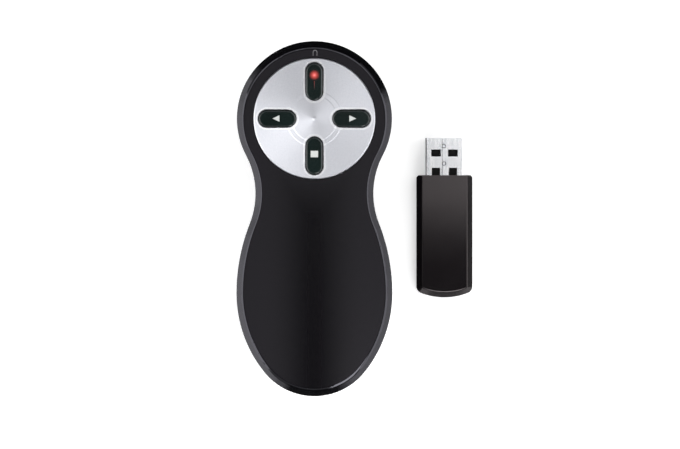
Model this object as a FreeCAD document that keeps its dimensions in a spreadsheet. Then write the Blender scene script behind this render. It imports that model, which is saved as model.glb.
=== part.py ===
"""Wireless presentation clicker with its plug-in receiver beside it, in millimetres.

+X points to the receiver's side, +Y to the nose, where the laser leaves, and +Z up out of the keys.
The origin lies on the rest plane, below the centre of the round button plate.
"""
import FreeCAD, Part
import math
import os
import re
import Sketcher

Vector = FreeCAD.Vector
doc = FreeCAD.newDocument("clicker")
sheet = doc.addObject("Spreadsheet::Sheet", "Sizes")

# Driving dimensions, in millimetres unless a name says degrees or turns
SIZES = {
    # Outline of the handset, seen from above
    "head_radius": 23.86,
    "waist_half_width": 18.13,
    "waist_back": 22.99,
    "grip_half_width": 23.98,
    "grip_back": 53.59,
    "tail_beyond_bay": 12.35,
    "tail_radius": 19.74,
    # Walls and edges of the shells
    "rim_above_seat": 1.85,
    "rim_bevel": 1.95,
    "rim_round": 1.6,
    "crown_radius": 500.0,
    "bottom_round": 5.5,
    "wall": 1.8,
    "floor_thickness": 1.8,
    "side_seam": 2.05,
    "nose_seam": 2.53,
    "tail_seam": 2.4,
    "seam_gap": 0.12,
    "ledge_width": 1.5,
    "ledge_thickness": 1.2,
    "skirt_wall": 1.0,
    "skirt_depth": 1.4,
    "skirt_gap": 0.15,
    "cover_edge": 0.2,
    "overrun": 2.0,
    # Round button plate
    "plate_inset": 5.16,
    "plate_gap": 0.15,
    "plate_seat_width": 0.75,
    "plate_seat_thickness": 0.7,
    "plate_below_crown": 0.08,
    "plate_thickness": 1.25,
    "plate_edge": 0.35,
    "plate_dish": 0.1,
    "plate_ring_inner": 6.85,
    "plate_ring_width": 1.85,
    "plate_ring_step": 0.05,
    "plate_ring_slope": 0.3,
    "plate_pip_radius": 0.8,
    "plate_pip_depth": 0.06,
    "slot_edge": 0.1,
    "slot_rim_degrees": 45.0,
    # Keys and the switches below them
    "key_inner_end": 5.65,
    "key_from_plate_edge": 1.65,
    "key_width": 5.0,
    "key_gap": 0.15,
    "key_rise": 0.35,
    "key_round": 0.45,
    "key_flange": 0.6,
    "key_flange_thickness": 0.7,
    "key_flange_gap": 0.3,
    "key_stem_radius": 1.5,
    "key_stem_length": 0.4,
    "key_travel": 0.5,
    "plunger_radius": 1.7,
    "plunger_gap": 0.1,
    "plunger_rise": 0.6,
    "plunger_well": 2.7,
    "switch_side": 6.0,
    "switch_height": 3.5,
    "switch_corner": 0.6,
    # Main board, its posts and parts
    "board_thickness": 1.2,
    "board_rim_gap": 0.83,
    "board_sleeve_gap": 2.75,
    "board_tongue_half_width": 11.0,
    "board_post_x_inset": 9.0,
    "board_post_y_inset": 8.5,
    "board_post_wall": 1.2,
    "chip_side": 5.0,
    "chip_height": 0.9,
    "chip_from_board_end": 9.0,
    "chip_aside": 4.5,
    "crystal_length": 3.2,
    "crystal_width": 2.5,
    "crystal_height": 0.8,
    # Screws
    "screw_radius": 1.0,
    "screw_head_radius": 1.8,
    "screw_head_height": 1.3,
    "screw_head_round": 0.4,
    "screw_clearance": 0.05,
    "board_screw_length": 6.0,
    "screw_bite": 3.5,
    "screw_recess": 4.0,
    "screw_recess_gap": 0.3,
    "screw_post_wall": 1.1,
    "screw_socket": 0.5,
    "head_screw_inset": 7.86,
    "grip_screw_from_bay": 3.1,
    "grip_screw_back": 52.0,
    "lug_wall": 1.6,
    "lug_top_gap": 0.5,
    # Laser in the nose
    "barrel_radius": 3.0,
    "barrel_length": 12.0,
    "barrel_setback": 0.35,
    "barrel_bore": 1.6,
    "lens_radius": 2.2,
    "lens_thickness": 1.2,
    "lens_seat_depth": 1.5,
    "diode_radius": 2.75,
    "diode_length": 2.0,
    "diode_pin_radius": 0.225,
    "diode_pin_length": 4.0,
    "diode_pin_circle": 1.27,
    "laser_fit": 0.05,
    "window_radius": 2.6,
    "window_thickness": 1.0,
    "window_from_wall": 0.05,
    "saddle_thickness": 1.4,
    "saddle_half_width": 4.2,
    "saddle_inset": 2.4,
    # Batteries and their compartment
    "battery_radius": 5.25,
    "battery_length": 44.5,
    "battery_nub_radius": 1.9,
    "battery_nub_length": 0.9,
    "battery_edge": 0.5,
    "battery_gap": 0.7,
    "battery_side_gap": 1.05,
    "battery_lift": 0.3,
    "battery_top_gap": 0.35,
    "contact_thickness": 0.3,
    "contact_half_width": 3.8,
    "contact_drop": 3.9,
    "contact_rise": 4.3,
    "contact_tab_half_width": 1.0,
    "spring_length": 2.7,
    "spring_wire_radius": 0.25,
    "spring_base_radius": 3.4,
    "spring_pitch": 0.9,
    "spring_taper_degrees": 20.0,
    "bay_from_board": 6.2,
    "bay_wall": 1.2,
    "end_wall_below_contact": 0.2,
    # Battery door and its hinge
    "door_gap": 0.3,
    "door_recess": 0.25,
    "door_thickness": 1.5,
    "knuckle_radius": 1.2,
    "hinge_pin_radius": 0.7,
    "hinge_pin_length": 0.9,
    "hinge_pin_clearance": 0.06,
    "hinge_socket_spare": 0.15,
    "hinge_to_head_wall": 0.4,
    "latch_width": 6.0,
    "latch_thickness": 0.9,
    "latch_height": 3.2,
    "latch_room": 2.8,
    "latch_setback": 0.3,
    "latch_hook_gap": 0.2,
    "latch_hook_height": 0.9,
    "door_corner": 4.0,
    "thumb_radius": 4.0,
    "thumb_depth": 0.5,
    "thumb_from_tail": 6.5,
    # Power slide switch on the back
    "power_back": 9.0,
    "power_travel": 2.0,
    "power_recess_depth": 0.9,
    "power_knob_recess": 0.15,
    "power_knob_half_length": 2.2,
    "power_knob_half_width": 1.7,
    "power_knob_gap": 0.3,
    "power_neck_half_length": 0.9,
    "power_neck_half_width": 0.8,
    "power_neck_gap": 0.2,
    "power_flange_half_length": 3.6,
    "power_flange_half_width": 2.0,
    "power_flange_thickness": 0.5,
    "power_flange_gap": 0.2,
    "power_flange_room": 0.4,
    "power_neck_bite": 1.3,
    "power_switch_gap": 0.8,
    "power_switch_height": 3.6,
    "power_switch_half_width": 2.2,
    "power_rib_thickness": 0.9,
    "power_grip_depth": 0.2,
    "power_grip_width": 0.4,
    "power_grip_pitch": 0.9,
    # Receiver bay in the tail
    "receiver_fit": 0.3,
    "sleeve_wall": 0.9,
    "sleeve_foot": 0.9,
    "sleeve_top_gap": 0.1,
    "sleeve_spare_length": 0.6,
    "sleeve_fit": 0.1,
    # Receiver
    "receiver_aside": 16.37,
    "receiver_front": 17.2,
    "receiver_width": 17.4,
    "receiver_length": 38.0,
    "receiver_end_radius": 20.2,
    "receiver_corner": 2.2,
    "receiver_bevel": 1.7,
    "receiver_under_bevel": 0.8,
    "receiver_crown_radius": 300.0,
    "receiver_bevel_round": 0.5,
    "receiver_front_cut": 0.6,
    "receiver_wall": 1.3,
    "plug_width": 12.0,
    "plug_height": 4.5,
    "plug_length": 11.6,
    "plug_root": 6.0,
    "plug_wall": 0.3,
    "plug_corner": 0.6,
    "plug_fit": 0.02,
    "plug_window_width": 3.0,
    "plug_window_length": 2.2,
    "plug_window_aside": 2.62,
    "plug_window_from_tip": 3.6,
    "plug_slot_width": 2.6,
    "plug_slot_from_tip": 9.3,
    "plug_slot_length": 3.4,
    "plug_seat_half_width": 4.5,
    "plug_seat_length": 3.5,
    "plug_seat_height": 0.25,
    "tongue_thickness": 1.7,
    "tongue_setback": 0.5,
    "tongue_side_gap": 0.2,
    "tongue_top_gap": 0.05,
    "contact_pad_width": 1.2,
    "contact_pad_length": 7.0,
    "contact_pad_thickness": 0.2,
    "contact_pad_setback": 1.2,
    "contact_pitch": 2.2,
    "receiver_board_thickness": 0.8,
    "receiver_board_side_gap": 0.4,
    "receiver_board_gap": 0.3,
    "receiver_board_from_end": 5.7,
    "receiver_rib_height": 1.7,
    "receiver_rib_thickness": 1.0,
    "receiver_chip_side": 5.0,
    "receiver_chip_height": 0.9,
    "receiver_crystal_back": 8.0,
}

# Sizes worked out from the ones above, as formulas of the sheet
DERIVED = {
    # Heights, built up from the back: door, cells, receiver bay, cover, button plate
    "door_top": "door_recess + door_thickness",
    "hinge_z": "door_recess + knuckle_radius",
    "battery_z": "door_top + battery_lift + battery_radius",
    "contact_bottom": "battery_z - contact_drop",
    "contact_top": "battery_z + contact_rise",
    "bay_end_wall_bottom": "contact_bottom - end_wall_below_contact",
    "sleeve_bottom": "battery_z + battery_radius + battery_top_gap",
    "parting_height": "sleeve_bottom - sleeve_foot",
    "laser_z": "parting_height",
    "bay_floor": "sleeve_bottom + sleeve_wall",
    "receiver_thickness": "plug_height + 2 * (receiver_wall + plug_seat_height)",
    "dock_height": "receiver_thickness + 2 * receiver_fit",
    "dock_top": "bay_floor + dock_height",
    "cover_seat_height": "dock_top + sleeve_wall + sleeve_top_gap",
    "ledge_bottom": "cover_seat_height - ledge_thickness",
    "rim_top": "cover_seat_height + rim_above_seat",
    "plate_bottom": "cover_seat_height + plate_seat_thickness",
    "plate_rim_height": "plate_bottom + plate_thickness",
    "plate_ring_height": "plate_rim_height - plate_dish - plate_ring_step",
    "plate_middle_height": "plate_ring_height - plate_ring_step",
    "slot_rim_bottom": "plate_middle_height - slot_edge",
    "crown_height": "plate_rim_height + plate_below_crown",
    # Down again from the plate: keys, plungers, switches, board, lugs and screws
    "key_top": "plate_rim_height + key_rise",
    "key_flange_top": "plate_bottom - key_flange_gap",
    "key_flange_bottom": "key_flange_top - key_flange_thickness",
    "plunger_top": "key_flange_bottom - key_stem_length",
    "switch_top": "plunger_top - plunger_rise",
    "plunger_bottom": "switch_top - plunger_well + key_travel + plunger_gap",
    "board_top": "switch_top - switch_height",
    "board_height": "board_top - board_thickness",
    "lug_height": "board_height - parting_height - lug_top_gap",
    "housing_screw_length": "parting_height - screw_recess + screw_bite",
    # Button plate and keys across the head
    "plate_radius": "head_radius - plate_inset",
    "plate_ring_outer": "plate_ring_inner + plate_ring_width",
    "key_length": "plate_radius - key_from_plate_edge - key_inner_end",
    "key_distance": "key_inner_end + key_length / 2",
    "board_radius": "head_radius - nose_seam - ledge_width - board_rim_gap",
    "board_post_x": "board_radius - board_post_x_inset",
    "board_post_y": "board_radius - board_post_y_inset",
    "board_post_radius": "screw_radius + board_post_wall",
    "screw_post_radius": "screw_head_radius + screw_recess_gap + screw_post_wall",
    "lug_radius": "screw_radius + lug_wall",
    "head_screw_x": "head_radius - head_screw_inset",
    # Laser
    "window_front": "head_radius - wall + window_from_wall + window_thickness",
    "barrel_front": "head_radius - wall - barrel_setback",
    "barrel_back": "barrel_front - barrel_length",
    # Cells, their bay and its door, from the head towards the tail
    "spring_height": "spring_length - 2 * spring_wire_radius",
    "battery_x": "battery_radius + battery_gap / 2",
    "bay_half_width": "battery_x + battery_radius + battery_side_gap",
    "bay_outer_half_width": "bay_half_width + bay_wall",
    "grip_screw_x": "bay_outer_half_width + grip_screw_from_bay",
    "bay_length": "battery_length + spring_length + 2 * contact_thickness",
    "bay_head": "board_radius + bay_from_board",
    "bay_tail": "bay_head + bay_length",
    "tail_back": "bay_tail + tail_beyond_bay",
    "door_half_width": "bay_half_width - door_gap",
    "door_opening_tail": "bay_tail + bay_wall + latch_room",
    "door_tail": "door_opening_tail - door_gap",
    "hinge_back": "bay_head - bay_wall - hinge_to_head_wall",
    "hinge_socket_end": "bay_half_width + hinge_pin_length + hinge_socket_spare",
    "door_opening_head": "hinge_back - knuckle_radius - door_gap",
    # Power switch
    "power_switch_bottom": "floor_thickness + power_flange_gap + power_flange_thickness + power_switch_gap",
    "power_neck_top": "power_switch_bottom + power_neck_bite",
    "power_switch_half_length": "power_flange_half_length + power_travel / 2 + power_flange_room"
                                " + power_rib_thickness",
    # Receiver bay, and the board that ends short of it
    "dock_half_width": "receiver_width / 2 + receiver_fit",
    "dock_end": "tail_back - receiver_length - plug_length - sleeve_spare_length",
    "board_tongue_back": "dock_end - sleeve_wall - board_sleeve_gap",
    "chip_back": "board_tongue_back - chip_from_board_end",
    # Receiver
    "receiver_x": "grip_half_width + receiver_aside",
    "receiver_middle": "receiver_thickness / 2",
    "plug_tip": "receiver_front - plug_length",
    "tongue_bottom": "receiver_middle + plug_height / 2 - plug_wall - tongue_top_gap - tongue_thickness",
    "receiver_board_front": "receiver_front + plug_root + receiver_board_gap",
    "receiver_board_rear": "receiver_front + receiver_length - receiver_board_from_end",
    "receiver_board_half_width": "receiver_width / 2 - receiver_wall - receiver_board_side_gap",
    "receiver_board_height": "receiver_wall + receiver_rib_height",
    "receiver_board_top": "receiver_board_height + receiver_board_thickness",
}

# Places that lie closer than this share of the wall count as the same
SAME_SHARE = 1e-4

# The closed sections of the handset: each is the outline drawn in at its sides, nose and tail
SECTIONS = {
    "outer": ("0", "0", "0"),
    "cavity": ("wall", "wall", "wall"),
    "rim_inner": ("wall", "wall", "tail_seam + ledge_width"),
    "recess": ("side_seam", "nose_seam", "tail_seam"),
    "ledge": ("side_seam + ledge_width", "nose_seam + ledge_width", "tail_seam + ledge_width"),
    "cover": ("side_seam + seam_gap", "nose_seam + seam_gap", "tail_seam + seam_gap"),
    "skirt": (
        "side_seam + ledge_width + skirt_gap",
        "nose_seam + ledge_width + skirt_gap",
        "tail_seam + ledge_width + skirt_gap",
    ),
    "skirt_inner": (
        "side_seam + ledge_width + skirt_gap + skirt_wall",
        "nose_seam + ledge_width + skirt_gap + skirt_wall",
        "tail_seam + ledge_width + skirt_gap + skirt_wall",
    ),
}

# Arcs of a section: each waist arc touches the head arc and a side arc, whose far end is the widest point
# of the grip. There a flank arc takes over and runs into the tail arc.
SECTION_FORMULAS = {
    "head_reach": "head_radius - (SIDE)",
    "head_middle": "(SIDE) - (NOSE)",
    "waist_width": "waist_half_width - (SIDE)",
    "grip_width": "grip_half_width - (SIDE)",
    "tail_reach": "tail_radius - (SIDE)",
    "tail_middle": "tail_radius - (SIDE) - tail_back + (TAIL)",
    "waist_reach": "(waist_width^2 + (head_middle + waist_back)^2 - head_reach^2)"
                   " / (2 * (head_reach - waist_width))",
    "waist_middle": "waist_width + waist_reach",
    "side_reach": "((grip_width - waist_width)^2 + (grip_back - waist_back)^2)"
                  " / (2 * (grip_width - waist_width)) - waist_reach",
    "side_middle": "grip_width - side_reach",
    "flank_run": "tail_reach - grip_back - tail_middle",
    "flank_reach": "(grip_width^2 + flank_run^2 - 2 * flank_run * tail_reach)"
                   " / (2 * (grip_width - tail_reach))",
    "flank_middle": "grip_width - flank_reach",
}


# Spreadsheet and expressions

def fill_sheet():
    row = 1
    cells = [(name, str(value)) for name, value in SIZES.items()]
    cells += [(name, "=" + formula) for name, formula in DERIVED.items()]
    for section, (side, nose, tail) in SECTIONS.items():
        for name, formula in SECTION_FORMULAS.items():
            for inset_name, inset in (("SIDE", side), ("NOSE", nose), ("TAIL", tail)):
                formula = formula.replace(inset_name, inset)
            own = "|".join(SECTION_FORMULAS)
            formula = re.sub(r"\b(" + own + r")\b", section + r"_\1", formula)
            cells.append((section + "_" + name, "=" + formula))
    for name, content in cells:
        sheet.set("A%d" % row, name)
        sheet.set("B%d" % row, content)
        sheet.setAlias("B%d" % row, name)
        row += 1
    doc.recompute()
    return {name for name, _ in cells}


ALIASES = fill_sheet()


def from_sheet(formula):
    """Write each size's name in a formula as a reference to the sheet."""
    return re.sub(r"[a-z_]+", lambda word: "Sizes." + word[0] if word[0] in ALIASES else word[0], formula)


def size(formula):
    return float(sheet.evalExpression(from_sheet(formula)))


def bind(item, **formulas):
    for path, formula in formulas.items():
        item.setExpression(path.replace("__", "."), from_sheet(formula))
    return item


# Sketches

def new_body(name):
    body = doc.addObject("PartDesign::Body", name)
    body.Label = name
    return body


def origin_feature(body, role):
    return next(item for item in body.Origin.OriginFeatures if item.Role == role)


def new_sketch(body, name, plane="XY_Plane", offset="0"):
    sketch = body.newObject("Sketcher::SketchObject", name)
    sketch.AttachmentSupport = (origin_feature(body, plane), [""])
    sketch.MapMode = "FlatFace"
    bind(sketch, AttachmentOffset__Base__z=offset)
    return sketch


def hold(sketch, kind, *places, formula):
    """Add a dimension and bind it to its formula."""
    index = sketch.addConstraint(Sketcher.Constraint(kind, *places, size(formula)))
    sketch.setExpression("Constraints[%d]" % index, from_sheet(formula))


def pin(sketch, geometry, point, across, along):
    hold(sketch, "DistanceX", -1, 1, geometry, point, formula=across)
    hold(sketch, "DistanceY", -1, 1, geometry, point, formula=along)


def draw_polygon(sketch, corners):
    places = [Vector(size(across), size(along), 0) for across, along in corners]
    first = sketch.GeometryCount
    count = len(corners)
    for index in range(count):
        sketch.addGeometry(Part.LineSegment(places[index], places[(index + 1) % count]), False)
    for index in range(count):
        following = first + (index + 1) % count
        sketch.addConstraint(Sketcher.Constraint("Coincident", first + index, 2, following, 1))
    for index, (across, along) in enumerate(corners):
        pin(sketch, first + index, 1, across, along)


def draw_rectangle(sketch, left, right, bottom, top):
    draw_polygon(sketch, [(left, bottom), (right, bottom), (right, top), (left, top)])


def draw_circle(sketch, across, along, radius):
    centre = Vector(size(across), size(along), 0)
    circle = sketch.addGeometry(Part.Circle(centre, Vector(0, 0, 1), size(radius)), False)
    pin(sketch, circle, 3, across, along)
    hold(sketch, "Radius", circle, formula=radius)


def arc(centre, radius, start, end):
    return Part.ArcOfCircle(Part.Circle(centre, Vector(0, 0, 1), radius), start, end)


def draw_slot(sketch, across, along, length, width):
    """A slot with round ends whose long axis runs up the sketch."""
    reach = "((%s) - (%s)) / 2" % (length, width)
    radius = "(%s) / 2" % width
    upper = "(%s) + %s" % (along, reach)
    lower = "(%s) - %s" % (along, reach)
    centre_up = Vector(size(across), size(upper), 0)
    centre_down = Vector(size(across), size(lower), 0)
    right = Vector(size(radius), 0, 0)
    top = sketch.addGeometry(arc(centre_up, size(radius), 0, math.pi), False)
    bottom = sketch.addGeometry(arc(centre_down, size(radius), math.pi, 2 * math.pi), False)
    left_line = sketch.addGeometry(Part.LineSegment(centre_up - right, centre_down - right), False)
    right_line = sketch.addGeometry(Part.LineSegment(centre_down + right, centre_up + right), False)
    for first, second in ((top, left_line), (left_line, bottom), (bottom, right_line), (right_line, top)):
        sketch.addConstraint(Sketcher.Constraint("Tangent", first, 2, second, 1))
    pin(sketch, top, 3, across, upper)
    pin(sketch, bottom, 3, across, lower)
    hold(sketch, "Radius", top, formula=radius)
    sketch.addConstraint(Sketcher.Constraint("Equal", top, bottom))


def draw_trim(sketch, centre_along, radius, half_width, far):
    """The region beyond an arc that bulges away from the sketch's origin, out to a straight far edge."""
    angle = math.asin(size(half_width) / size(radius))
    outward = math.copysign(1, size(far) - size(centre_along))
    middle = outward * math.pi / 2
    centre = Vector(0, size(centre_along), 0)
    bow = sketch.addGeometry(arc(centre, size(radius), middle - angle, middle + angle), False)
    curve = sketch.Geometry[bow]
    start, end = curve.StartPoint, curve.EndPoint
    far_start = Vector(start.x, size(far), 0)
    far_end = Vector(end.x, size(far), 0)
    out_line = sketch.addGeometry(Part.LineSegment(end, far_end), False)
    far_line = sketch.addGeometry(Part.LineSegment(far_end, far_start), False)
    back_line = sketch.addGeometry(Part.LineSegment(far_start, start), False)
    for first, second in ((bow, out_line), (out_line, far_line), (far_line, back_line), (back_line, bow)):
        sketch.addConstraint(Sketcher.Constraint("Coincident", first, 2, second, 1))
    sketch.addConstraint(Sketcher.Constraint("Vertical", out_line))
    sketch.addConstraint(Sketcher.Constraint("Vertical", back_line))
    pin(sketch, bow, 3, "0", centre_along)
    hold(sketch, "Radius", bow, formula=radius)
    sign = "-" if end.x < 0 else ""
    pin(sketch, out_line, 2, sign + "(%s)" % half_width, far)
    other = "" if sign else "-"
    pin(sketch, far_line, 2, other + "(%s)" % half_width, far)


def draw_section(sketch, section):
    """One closed section of the handset, as eight arcs that run smoothly into each other."""
    def own(name):
        return section + "_" + name

    def middle(across, along):
        return Vector(size(across), size(along), 0)

    head = middle("0", own("head_middle"))
    tail = middle("0", own("tail_middle"))
    waist = middle(own("waist_middle"), "-waist_back")
    side = middle(own("side_middle"), "-grip_back")
    flank = middle(own("flank_middle"), "-grip_back")

    def angle(start, end):
        return math.atan2(end.y - start.y, end.x - start.x)

    neck = angle(head, waist)
    hip = angle(side, waist)
    heel = -angle(flank, tail)
    turn = math.pi
    arcs = [arc(head, size(own("head_reach")), neck, turn - neck)]
    for mirror in (1, -1):
        for centre, reach, start, end in (
            (waist, "waist_reach", turn + neck, turn + hip),
            (side, "side_reach", 0, hip),
            (flank, "flank_reach", -heel, 0),
        ):
            if mirror < 0:
                centre = Vector(-centre.x, centre.y, 0)
                start, end = turn - end, turn - start
            arcs.append(arc(centre, size(own(reach)), start, end))
    arcs.append(arc(tail, size(own("tail_reach")), turn + heel, 2 * turn - heel))
    first = sketch.GeometryCount
    for curve in arcs:
        sketch.addGeometry(curve, False)
    joins = (
        (0, 1, 1, 1), (1, 2, 2, 2), (2, 1, 3, 2), (3, 1, 7, 2),
        (7, 1, 6, 2), (6, 1, 5, 2), (5, 1, 4, 1), (4, 2, 0, 2),
    )
    for one, one_end, two, two_end in joins:
        sketch.addConstraint(Sketcher.Constraint("Tangent", first + one, one_end, first + two, two_end))
    pin(sketch, first, 3, "0", own("head_middle"))
    hold(sketch, "Radius", first, formula=own("head_reach"))
    pin(sketch, first + 7, 3, "0", own("tail_middle"))
    hold(sketch, "Radius", first + 7, formula=own("tail_reach"))
    for offset, sign in ((1, ""), (4, "-")):
        pin(sketch, first + offset, 3, sign + own("waist_middle"), "-waist_back")
        pin(sketch, first + offset + 1, 3, sign + own("side_middle"), "-grip_back")
        hold(sketch, "DistanceY", -1, 1, first + offset + 2, 3, formula="-grip_back")


# Solid features of a body

def prism(body, name, draw, start, end, plane="XY_Plane", cut=False, taper=None):
    """Pad or pocket a sketch from one offset of its plane to another, along the plane's normal.

    The normal of XY_Plane is +Z, of YZ_Plane +X and of XZ_Plane -Y, towards the tail.
    """
    before = body.Shape.Volume if body.Tip else 0
    sketch = new_sketch(body, name + "_sketch", plane, start)
    draw(sketch)
    feature = body.newObject("PartDesign::Pocket" if cut else "PartDesign::Pad", name)
    feature.Profile = sketch
    feature.Reversed = cut
    bind(feature, Length="(%s) - (%s)" % (end, start))
    if taper:
        bind(feature, TaperAngle=taper)
    doc.recompute()
    after = body.Shape.Volume
    if cut and after >= before or not cut and after <= before:
        raise RuntimeError(body.Label + "." + name + " changes nothing")
    return feature


def pocket(body, name, draw, start, end, plane="XY_Plane", taper=None):
    return prism(body, name, draw, start, end, plane, True, taper)


def dress(body, name, kind, amount, wanted):
    """Round or bevel the edges of the body's last feature that a test picks."""
    last = body.Tip
    names = ["Edge%d" % (index + 1) for index, edge in enumerate(last.Shape.Edges) if wanted(edge)]
    feature = body.newObject("PartDesign::" + kind, name)
    feature.Base = (last, names)
    bind(feature, **{"Radius" if kind == "Fillet" else "Size": amount})
    doc.recompute()
    return feature


def near(value, formula):
    return abs(value - size(formula)) < SAME_SHARE * size("wall")


def level(edge, formula):
    """Tell whether an edge lies flat at a height."""
    box = edge.BoundBox
    return near(box.ZMin, formula) and near(box.ZMax, formula)


def square_on(edge, formula):
    """Tell whether an edge lies in a plane square to the handset's length."""
    box = edge.BoundBox
    return near(box.YMin, formula) and near(box.YMax, formula)


def upright(edge):
    box = edge.BoundBox
    return near(max(box.XLength, box.YLength), "0") and box.ZLength > 0


def revolve(body, name, draw, plane="XZ_Plane"):
    sketch = new_sketch(body, name + "_sketch", plane)
    draw(sketch)
    feature = body.newObject("PartDesign::Revolution", name)
    feature.Profile = sketch
    feature.ReferenceAxis = (sketch, ["V_Axis"])
    doc.recompute()
    return feature


def circles(places, radius):
    def draw(sketch):
        for across, along in places:
            draw_circle(sketch, across, along, radius)
    return draw


def rectangles(*boxes):
    def draw(sketch):
        for box in boxes:
            draw_rectangle(sketch, *box)
    return draw


def section(name):
    return lambda sketch: draw_section(sketch, name)


def mirrored(across, along):
    return [(across, along), ("-(%s)" % across, along)]


BOARD_POSTS = mirrored("board_post_x", "board_post_y") + mirrored("board_post_x", "-board_post_y")
HEAD_SCREWS = mirrored("head_screw_x", "0")
GRIP_SCREWS = mirrored("grip_screw_x", "-grip_screw_back")
HOUSING_SCREWS = HEAD_SCREWS + GRIP_SCREWS
KEY_PLACES = [("0", "key_distance"), ("0", "-key_distance"), ("key_distance", "0"), ("-key_distance", "0")]


# Handset shells

def draw_door(sketch, head, margin):
    """The battery door's outline grown by a margin: square at the hinge, round corners at the tail."""
    half = "door_half_width + " + margin
    tail = "-(door_tail + %s)" % margin
    radius = "door_corner + " + margin
    inner = "(%s) - (%s)" % (half, radius)
    middle = "(%s) + (%s)" % (tail, radius)
    top_left = Vector(-size(half), size(head), 0)
    top_right = Vector(size(half), size(head), 0)
    right_middle = Vector(size(inner), size(middle), 0)
    left_middle = Vector(-size(inner), size(middle), 0)
    out = Vector(size(radius), 0, 0)
    down = Vector(0, -size(radius), 0)
    curves = [
        Part.LineSegment(top_left, left_middle - out),
        arc(left_middle, size(radius), math.pi, 1.5 * math.pi),
        Part.LineSegment(left_middle + down, right_middle + down),
        arc(right_middle, size(radius), 1.5 * math.pi, 2 * math.pi),
        Part.LineSegment(right_middle + out, top_right),
        Part.LineSegment(top_right, top_left),
    ]
    first = sketch.GeometryCount
    for curve in curves:
        sketch.addGeometry(curve, False)
    for index in range(4):
        sketch.addConstraint(Sketcher.Constraint("Tangent", first + index, 2, first + index + 1, 1))
    sketch.addConstraint(Sketcher.Constraint("Coincident", first + 4, 2, first + 5, 1))
    sketch.addConstraint(Sketcher.Constraint("Coincident", first + 5, 2, first, 1))
    pin(sketch, first, 1, "-(%s)" % half, head)
    pin(sketch, first + 4, 2, half, head)
    pin(sketch, first + 1, 3, "-(%s)" % inner, middle)
    pin(sketch, first + 3, 3, inner, middle)


def make_lower_housing():
    body = new_body("lower_housing")
    prism(body, "shell", section("outer"), "0", "parting_height")
    dress(body, "bottom_rounding", "Fillet", "bottom_round", lambda edge: level(edge, "0"))
    pocket(body, "cavity", section("cavity"), "floor_thickness", "parting_height + overrun")
    dress(body, "floor_rounding", "Fillet", "bottom_round - wall",
          lambda edge: level(edge, "floor_thickness"))
    prism(body, "battery_walls", lambda sketch: draw_door(
        sketch, "-door_opening_head + bay_wall", "(door_gap + bay_wall)",
    ), "floor_thickness", "parting_height")
    pocket(body, "door_opening", lambda sketch: draw_door(sketch, "-door_opening_head", "door_gap"),
           "-overrun", "parting_height + overrun")
    prism(body, "end_walls", rectangles(
        ("-bay_half_width", "bay_half_width", "-bay_head", "-bay_head + bay_wall"),
        ("-bay_half_width", "bay_half_width", "-bay_tail - bay_wall", "-bay_tail"),
    ), "bay_end_wall_bottom", "parting_height")
    hinge_bore = circles([("-hinge_back", "hinge_z")], "hinge_pin_radius + hinge_pin_clearance")
    pocket(body, "hinge_sockets", hinge_bore, "-hinge_socket_end", "hinge_socket_end", plane="YZ_Plane")
    prism(body, "board_posts", circles(BOARD_POSTS, "board_post_radius"), "floor_thickness", "board_height")
    pocket(body, "board_screw_holes", circles(BOARD_POSTS, "screw_radius + screw_clearance"),
           "board_top - board_screw_length - screw_socket", "board_height + overrun")
    prism(body, "screw_posts", circles(HOUSING_SCREWS, "screw_post_radius"),
          "floor_thickness", "parting_height")
    pocket(body, "screw_holes", circles(HOUSING_SCREWS, "screw_radius + screw_clearance"),
           "-overrun", "parting_height + overrun")
    pocket(body, "screw_recesses", circles(HOUSING_SCREWS, "screw_head_radius + screw_recess_gap"),
           "-overrun", "screw_recess")
    prism(body, "laser_saddles", rectangles(*[
        ("-saddle_half_width", "saddle_half_width", "%s - saddle_thickness" % front, front)
        for front in ("barrel_front - saddle_inset", "barrel_back + saddle_inset + saddle_thickness")
    ]), "floor_thickness", "parting_height")
    pocket(body, "barrel_bed", circles([("0", "laser_z")], "barrel_radius + laser_fit"),
           "-barrel_front", "-barrel_back + overrun", plane="XZ_Plane")
    pocket(body, "nose_hole", circles([("0", "laser_z")], "window_radius + laser_fit"),
           "-head_radius - overrun", "-head_radius + wall + overrun", plane="XZ_Plane")
    pocket(body, "power_recess", rectangles((
        "-power_knob_half_length - power_travel / 2 - power_knob_gap",
        "power_knob_half_length + power_travel / 2 + power_knob_gap",
        "-power_back - power_knob_half_width - power_knob_gap",
        "-power_back + power_knob_half_width + power_knob_gap",
    )), "-overrun", "power_recess_depth")
    pocket(body, "power_slot", rectangles(POWER_SLOT), "-overrun", "floor_thickness + overrun")
    prism(body, "power_ribs", rectangles(*[
        (left, "%s + power_rib_thickness" % left,
         "-power_back - power_switch_half_width", "-power_back + power_switch_half_width")
        for left in ("-power_switch_half_length", "power_switch_half_length - power_rib_thickness")
    ]), "floor_thickness", "power_switch_bottom")
    return body


POWER_SLOT = (
    "-power_neck_half_length - power_travel / 2 - power_neck_gap",
    "power_neck_half_length + power_travel / 2 + power_neck_gap",
    "-power_back - power_neck_half_width - power_neck_gap",
    "-power_back + power_neck_half_width + power_neck_gap",
)


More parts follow.
